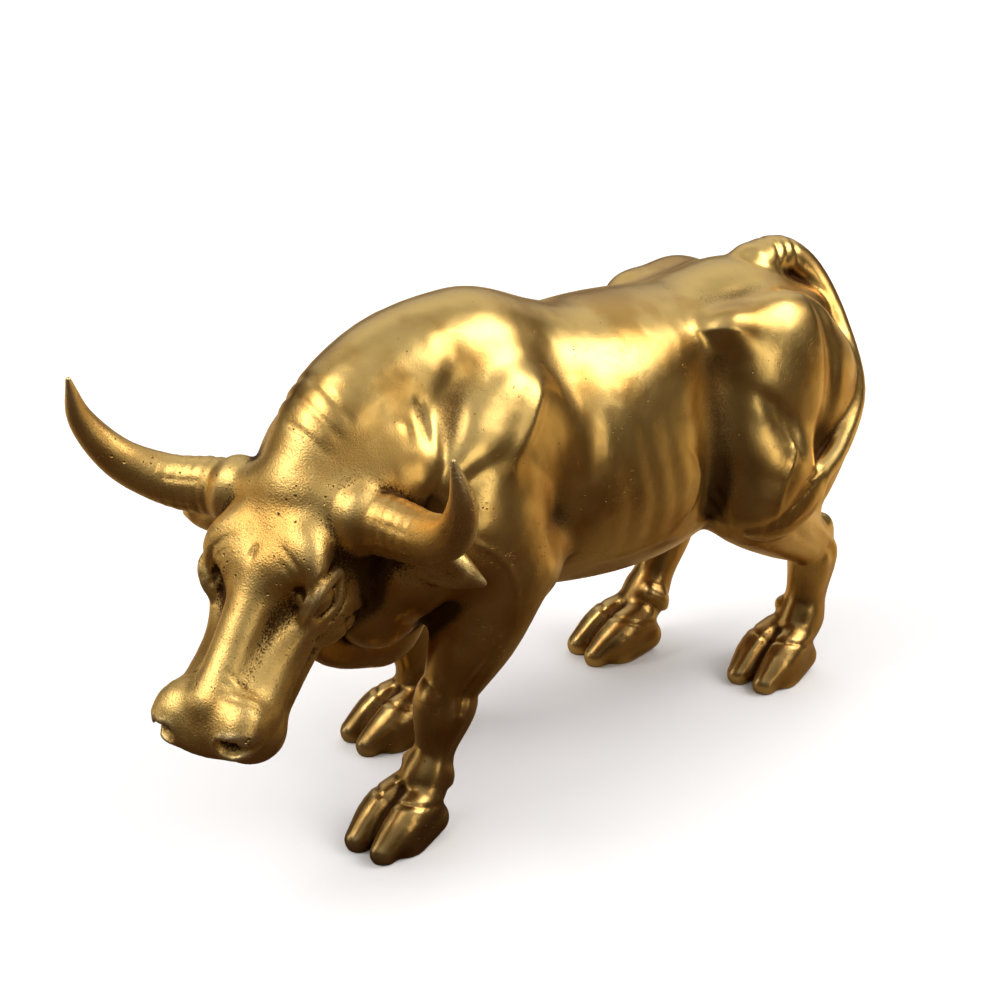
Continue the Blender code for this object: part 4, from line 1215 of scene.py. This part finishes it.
@dataclass(frozen=True)
class CastSkin:
    """The skin of a casting: fine grain, shallow waves, scattered pits and a few scratches."""

    grain_size: float = 0.00030
    grain_depth: float = 0.000075
    pit_spacing: float = 0.0013
    pit_depth: float = 0.00016
    wave_depth: float = 0.00014
    scratch_depth: float = 0.00003
    smooth_share: float = 0.28
    waves_per_metre: float = 210.0
    patches_per_metre: float = 160.0
    patch_edges: tuple[float, float] = (0.45, 0.68)
    pit_reach: tuple[float, float] = (0.14, 0.26)
    pit_floor: float = 0.3
    pit_rim: float = 0.001
    scratches_per_metre: float = 95.0
    scratch_level: float = 0.57
    scratch_edges: tuple[float, float] = (0.007, 0.002)
    scratch_patches_per_metre: float = 130.0
    scratch_patch_edges: tuple[float, float] = (0.57, 0.66)
    scratch_turn: Point = (0.5, 0.3, 0.7)
    scratch_stretch: Point = (1.0, 7.0, 7.0)
    mottles_per_metre: float = 75.0

    def values(self) -> dict[str, float]:
        """Returns the group's own inputs, in metres."""
        return {"Grain size": self.grain_size, "Grain depth": self.grain_depth,
                "Pit spacing": self.pit_spacing, "Pit depth": self.pit_depth,
                "Wave depth": self.wave_depth, "Scratch depth": self.scratch_depth}

    def pits(self, group: EffectGroup, place: Socket) -> Socket:
        """Returns 1 at the bottom of each pit: wider on coarse skin, and only in patches."""
        scale = group.maths("DIVIDE", 1.0, group.given["Pit spacing"])
        cells = group.node("ShaderNodeTexVoronoi", fed={"Vector": place, "Scale": scale})["Distance"]
        patches = group.ramp(group.noise(place, self.patches_per_metre, 2.0), *self.patch_edges)
        reach = group.maths("MULTIPLY", group.spread(group.given["Coarse"], *self.pit_reach), patches)
        floor = group.maths("MULTIPLY", reach, self.pit_floor)
        return group.maths("SUBTRACT", 1.0, group.ramp(cells, floor, group.maths("ADD", reach, self.pit_rim)))

    def scratches(self, group: EffectGroup, place: Socket) -> Socket:
        """Returns 1 along short fine lines, which lie mostly one way."""
        fed = {"Vector": place, "Rotation": self.scratch_turn, "Scale": self.scratch_stretch}
        drawn = group.node("ShaderNodeMapping", fed=fed)[0]
        noise = group.noise(drawn, self.scratches_per_metre, 1.0)
        off_line = group.maths("ABSOLUTE", group.maths("SUBTRACT", noise, self.scratch_level))
        patches = group.noise(place, self.scratch_patches_per_metre, 1.0)
        return group.maths("MULTIPLY", group.ramp(off_line, *self.scratch_edges),
                           group.ramp(patches, *self.scratch_patch_edges))

    def build(self) -> bpy.types.NodeTree:
        """Builds the group. Its Height is in metres."""
        group = EffectGroup("cast skin", ("Place",), ("Coarse", *self.values()),
                            ("Height", "Pits", "Mottle", "Grain", "Scratches"))
        given = group.given
        place = given["Place"]
        grain = group.noise(place, group.maths("DIVIDE", 1.0, given["Grain size"]), 3.0)
        share = group.spread(given["Coarse"], self.smooth_share, 1.0)
        height = group.maths("MULTIPLY", group.swing(grain, share), given["Grain depth"])
        waves = group.swing(group.noise(place, self.waves_per_metre, 1.0), given["Wave depth"])
        height = group.maths("ADD", height, waves)
        pits = self.pits(group, place)
        scratches = self.scratches(group, place)
        for mark, depth in ((scratches, given["Scratch depth"]), (pits, given["Pit depth"])):
            height = group.maths("SUBTRACT", height, group.maths("MULTIPLY", mark, depth))
        mottle = group.noise(place, self.mottles_per_metre, 4.0)
        fed = {"Height": height, "Pits": pits, "Mottle": mottle, "Grain": grain, "Scratches": scratches}
        group.node("NodeGroupOutput", fed=fed)
        return group.tree


@dataclass(frozen=True)
class PatinaWearAndPaintedLight:
    """Patina that stays in the fine hollows, painted shade in the broad creases, a brown layer that is
    stronger low down, and bare metal on what stands proud, which is rubbed wear with a painted highlight.

    Each layer has the hollowness where it starts and ends, and its strength.
    """

    drift: float = 0.10
    height_drift: float = 0.05
    speckle: tuple[float, float] = (0.07, 0.22)
    deep: Layer = (0.53, 0.64, 0.96)
    # Painted shade in the broad creases, partly patina.
    wide: Layer = (0.505, 0.605, 0.88)
    specks: Layer = (0.60, 0.70, 0.55)
    # A brown layer over flats and hollows, stronger low down.
    low_brown: Layer = (0.34, 0.50, 0.85)
    # Paler bare metal on raised edges: rubbed wear with a painted highlight.
    wear_and_highlight: Layer = (0.47, 0.30, 0.8)

    def build(self) -> bpy.types.NodeTree:
        """Builds the group, which gives the shares of patina with painted shade, of a brown layer that is
        stronger low down, and of bare metal with a painted highlight.
        """
        numbers = ("Fine hollow", "Broad hollow", "Coarse", "Mottle", "Grain", "Height", "Low brown top")
        group = EffectGroup("patina, wear and painted light", (), numbers, ("Patina and shade", "Low brown", "Wear and highlight"))
        given = group.given

        def layer(value: Socket, start: float, end: float, strength: float) -> Socket:
            """Returns a layer that gains strength as a value goes from start to end."""
            return group.maths("MULTIPLY", group.ramp(value, start, end), strength)

        drift = group.swing(given["Mottle"], self.drift)
        speckle = group.swing(given["Grain"], group.spread(given["Coarse"], *self.speckle))
        fine = group.maths("ADD", given["Fine hollow"], drift)
        broad = group.maths("ADD", given["Broad hollow"], drift)
        specks = layer(group.maths("ADD", given["Grain"], drift), *self.specks)
        kept = 1.0
        # The fine layer and the specks are patina; the broad layer is painted shade in the wide creases,
        # partly patina.
        for share in (layer(group.maths("ADD", fine, speckle), *self.deep),
                      layer(group.maths("ADD", broad, speckle), *self.wide),
                      group.maths("MULTIPLY", specks, given["Coarse"])):
            kept = group.maths("MULTIPLY", kept, group.maths("SUBTRACT", 1.0, share))
        height = group.maths("ADD", given["Height"], group.maths("MULTIPLY", drift, self.height_drift))
        # Browner towards the bottom, below a set height.
        low_down = group.ramp(height, given["Low brown top"], 0.0)
        low_brown = group.maths("MULTIPLY", low_down, layer(fine, *self.low_brown))
        fed = {"Patina and shade": group.maths("SUBTRACT", 1.0, kept), "Low brown": low_brown, "Wear and highlight": layer(fine, *self.wear_and_highlight)}
        group.node("NodeGroupOutput", fed=fed)
        return group.tree


@dataclass(frozen=True)
class AntiqueGold:
    """Cast brass in antique gold: bright on what stands proud, where there is rubbed wear and a painted
    highlight; dark brown in its hollows, from patina and painted shade; browner low down.
    """

    # Pale gold on raised edges: rubbed wear with a painted highlight.
    wear_and_highlight: Colour = (0.93, 0.72, 0.33)
    gold: Colour = (0.82, 0.55, 0.17)
    brown_gold: Colour = (0.62, 0.36, 0.09)
    mottle_edges: tuple[float, float] = (0.36, 0.58)
    # Brown of the layer that is stronger low down.
    low_brown: Colour = (0.36, 0.19, 0.055)
    # Dark brown of the patina and of the painted shade in the broad creases.
    patina_and_shade: Colour = (0.075, 0.029, 0.008)
    pit_dark: float = 0.75
    scratch_dark: float = 0.35
    smooth: float = 0.30
    sandy: float = 0.40
    matt: float = 0.60
    low_brown_top: float = 0.034

    def build(self) -> bpy.types.Material:
        """Builds the material."""
        metal = bpy.data.materials.new("antique gold")
        metal.use_nodes = True
        wiring = Wiring(metal.node_tree)
        place = wiring.node("ShaderNodeTexCoord")["Object"]
        fine, broad, coarse = (wiring.node("ShaderNodeAttribute", attribute_name=name)["Fac"]
                               for name in ("fine_hollow", "broad_hollow", "coarse_skin"))
        fed = {"Place": place, "Coarse": coarse, **CastSkin().values()}
        skin = wiring.node("ShaderNodeGroup", fed=fed, node_tree=CastSkin().build())
        fed = {"Fine hollow": fine, "Broad hollow": broad, "Coarse": coarse, "Mottle": skin["Mottle"],
               "Grain": skin["Grain"], "Height": wiring.node("ShaderNodeSeparateXYZ", fed={0: place})["Z"],
               "Low brown top": self.low_brown_top}
        patina_wear_light = wiring.node("ShaderNodeGroup", fed=fed, node_tree=PatinaWearAndPaintedLight().build())
        # Patina and painted shade in the creases, joined by dark pits and scratches.
        dark = patina_wear_light["Patina and shade"]
        for mark, share in (("Pits", self.pit_dark), ("Scratches", self.scratch_dark)):
            dark = wiring.maths("MAXIMUM", dark, wiring.maths("MULTIPLY", skin[mark], share))
        mottle = wiring.ramp(skin["Mottle"], *self.mottle_edges)
        tone = wiring.blend(mottle, opaque(self.brown_gold), opaque(self.gold))
        # Over the tone go the pale edges with their painted highlight, the brown that is stronger low down,
        # then the patina with painted shade.
        colour_layers = ((patina_wear_light["Wear and highlight"], self.wear_and_highlight), (patina_wear_light["Low brown"], self.low_brown), (dark, self.patina_and_shade))
        for share, colour in colour_layers:
            tone = wiring.blend(share, tone, opaque(colour))
        bare = wiring.spread(coarse, self.smooth, self.sandy)
        bump = wiring.node("ShaderNodeBump", fed={"Height": skin["Height"], "Distance": 1.0, "Strength": 1.0})
        wiring.feed(metal.node_tree.nodes["Principled BSDF"],
                    {"Base Color": tone, "Roughness": wiring.spread(dark, bare, self.matt), "Metallic": 1.0,
                     "Normal": bump["Normal"]})
        return metal


@dataclass(frozen=True)
class Softbox:
    """A soft lamp that faces the figure."""

    name: str
    azimuth: float
    elevation: float
    distance: float
    size: tuple[float, float]
    radiance: float
    tint: Colour = (1.0, 1.0, 1.0)

    def place(self, middle: Vector) -> None:
        """Hangs the lamp so that it faces a point."""
        lamp = bpy.data.lights.new(self.name, "AREA")
        lamp.shape = "RECTANGLE"
        lamp.size, lamp.size_y = self.size
        lamp.energy = self.radiance * math.pi * self.size[0] * self.size[1]
        lamp.color = self.tint
        aim(in_scene(self.name, lamp), middle, self.azimuth, self.elevation, self.distance)


def direction(azimuth: float, elevation: float) -> Vector:
    """Returns the way to a camera or lamp: azimuth 0 is in front at -Y and 90 at +X, in degrees."""
    a, e = math.radians(azimuth), math.radians(elevation)
    return Vector((math.sin(a) * math.cos(e), -math.cos(a) * math.cos(e), math.sin(e)))


def aim(holder: bpy.types.Object, middle: Vector, azimuth: float, elevation: float, distance: float) -> None:
    """Sets a camera or lamp at a distance from a point, and turns it to the point."""
    away = direction(azimuth, elevation)
    holder.location = middle + away * distance
    holder.rotation_euler = away.to_track_quat("Z", "Y").to_euler()


@dataclass(frozen=True)
class Studio:
    """The floor, lamps, surroundings and camera."""

    floor_half: float = 3.0
    floor_pale: Colour = (0.90, 0.895, 0.885)
    floor_mirrored: Colour = (0.48, 0.365, 0.21)
    floor_dark: Colour = (0.036, 0.015, 0.005)
    floor_edges: tuple[float, float] = (-0.09, 0.035)
    floor_roughness: float = 0.9
    floor_specular: float = 0.1
    pale: Colour = (0.80, 0.80, 0.80)
    room: tuple[tuple[float, Colour], ...] = ((0.0, (0.022, 0.009, 0.003)), (0.32, (0.040, 0.020, 0.009)),
                                              (0.60, (0.27, 0.27, 0.29)), (1.0, (0.50, 0.51, 0.57)))
    azimuth: float = 50.0
    elevation: float = 25.0
    distance: float = 0.400
    focal_length: float = 85.0
    nearest: float = 0.01
    shift: tuple[float, float] = (-0.026, 0.035)
    boxes: tuple[Softbox, ...] = (
        Softbox("flank_box", 144.0, 46.0, 0.70, (0.36, 0.36), 5.0, (1.0, 0.97, 0.98)),
        Softbox("key_box", -20.0, 55.0, 0.70, (0.40, 0.40), 4.6, (1.0, 0.97, 0.98)),
        Softbox("back_wall", 230.0, 32.0, 0.90, (1.2, 0.7), 0.5, (0.92, 0.95, 1.0)),
        Softbox("side_box", 98.0, 20.0, 0.75, (0.12, 0.42), 3.2, (1.0, 0.95, 0.88)),
        Softbox("left_strip", -42.0, 14.0, 0.75, (0.10, 0.40), 2.2, (1.0, 0.95, 0.88)),
    )

    def split_by_glossy(self, wiring: Wiring, plain: object, mirrored: object) -> Socket:
        """Gives one colour to the eye and the diffuse light, and another to reflections."""
        return wiring.blend(wiring.node("ShaderNodeLightPath")["Is Glossy Ray"], plain, mirrored)

    def build_world(self) -> None:
        """Makes the surroundings: pale for diffuse light, in reflections a room that is dark low down."""
        world = bpy.data.worlds.new("studio")
        world.use_nodes = True
        bpy.context.scene.world = world
        wiring = Wiring(world.node_tree)
        way = wiring.node("ShaderNodeTexCoord")["Generated"]
        height = wiring.node("ShaderNodeSeparateXYZ", fed={0: way})["Z"]
        room = wiring.node("ShaderNodeValToRGB", fed={0: height})["Color"]
        stops = room.node.color_ramp.elements
        while len(stops) < len(self.room):
            stops.new(0.5)
        for stop, (place, colour) in zip(stops, self.room):
            stop.position = place
            stop.color = opaque(colour)
        seen = self.split_by_glossy(wiring, opaque(self.pale), room)
        wiring.feed(world.node_tree.nodes["Background"], {"Color": seen})

    def build_floor(self) -> bpy.types.Object:
        """Makes the floor, which mirrors dark towards the camera."""
        half = self.floor_half
        corners = [(x * half, y * half, 0) for x, y in ((-1, -1), (1, -1), (1, 1), (-1, 1))]
        mesh = bpy.data.meshes.new("floor")
        mesh.from_pydata(corners, [], [(0, 1, 2, 3)])
        paint = bpy.data.materials.new("pale floor")
        paint.use_nodes = True
        wiring = Wiring(paint.node_tree)
        place = wiring.node("ShaderNodeTexCoord")["Object"]
        fed = {0: place, 1: direction(self.azimuth, 0.0)}
        towards = wiring.node("ShaderNodeVectorMath", "DOT_PRODUCT", fed)["Value"]
        mirrored = wiring.blend(wiring.ramp(towards, *self.floor_edges), opaque(self.floor_mirrored),
                                opaque(self.floor_dark))
        colour = self.split_by_glossy(wiring, opaque(self.floor_pale), mirrored)
        wiring.feed(paint.node_tree.nodes["Principled BSDF"],
                    {"Base Color": colour, "Roughness": self.floor_roughness,
                     "Specular IOR Level": self.floor_specular})
        mesh.materials.append(paint)
        return in_scene("floor", mesh)

    def build_camera(self, middle: Vector) -> None:
        """Sets the camera at the photograph's angle, aimed at a point."""
        lens = bpy.data.cameras.new("camera")
        lens.lens = self.focal_length
        lens.clip_start = self.nearest
        lens.shift_x, lens.shift_y = self.shift
        camera = in_scene("camera", lens)
        aim(camera, middle, self.azimuth, self.elevation, self.distance)
        bpy.context.scene.camera = camera

    def build(self, middle: Vector) -> bpy.types.Object:
        """Sets up everything around the figure.

        Args:
            middle: The middle of the figure.

        Returns:
            The floor.
        """
        self.build_world()
        for softbox in self.boxes:
            softbox.place(middle)
        self.build_camera(middle)
        bpy.context.scene.view_settings.view_transform = "Standard"
        return self.build_floor()


def main() -> None:
    """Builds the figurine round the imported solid, and the studio round the figurine."""
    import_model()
    solid_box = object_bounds()
    low, high = (Vector(corner) for corner in solid_box)
    figure = Bull().cast(AntiqueGold().build())
    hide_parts("bull")
    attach(figure, "root")
    LOG.info("%s: %d triangles", figure.name, sum(len(face.vertices) - 2 for face in figure.data.polygons))
    Studio().build((low + high) / 2)


if __name__ == "__main__":
    logging.basicConfig(level=logging.INFO, format="%(message)s")
    main()
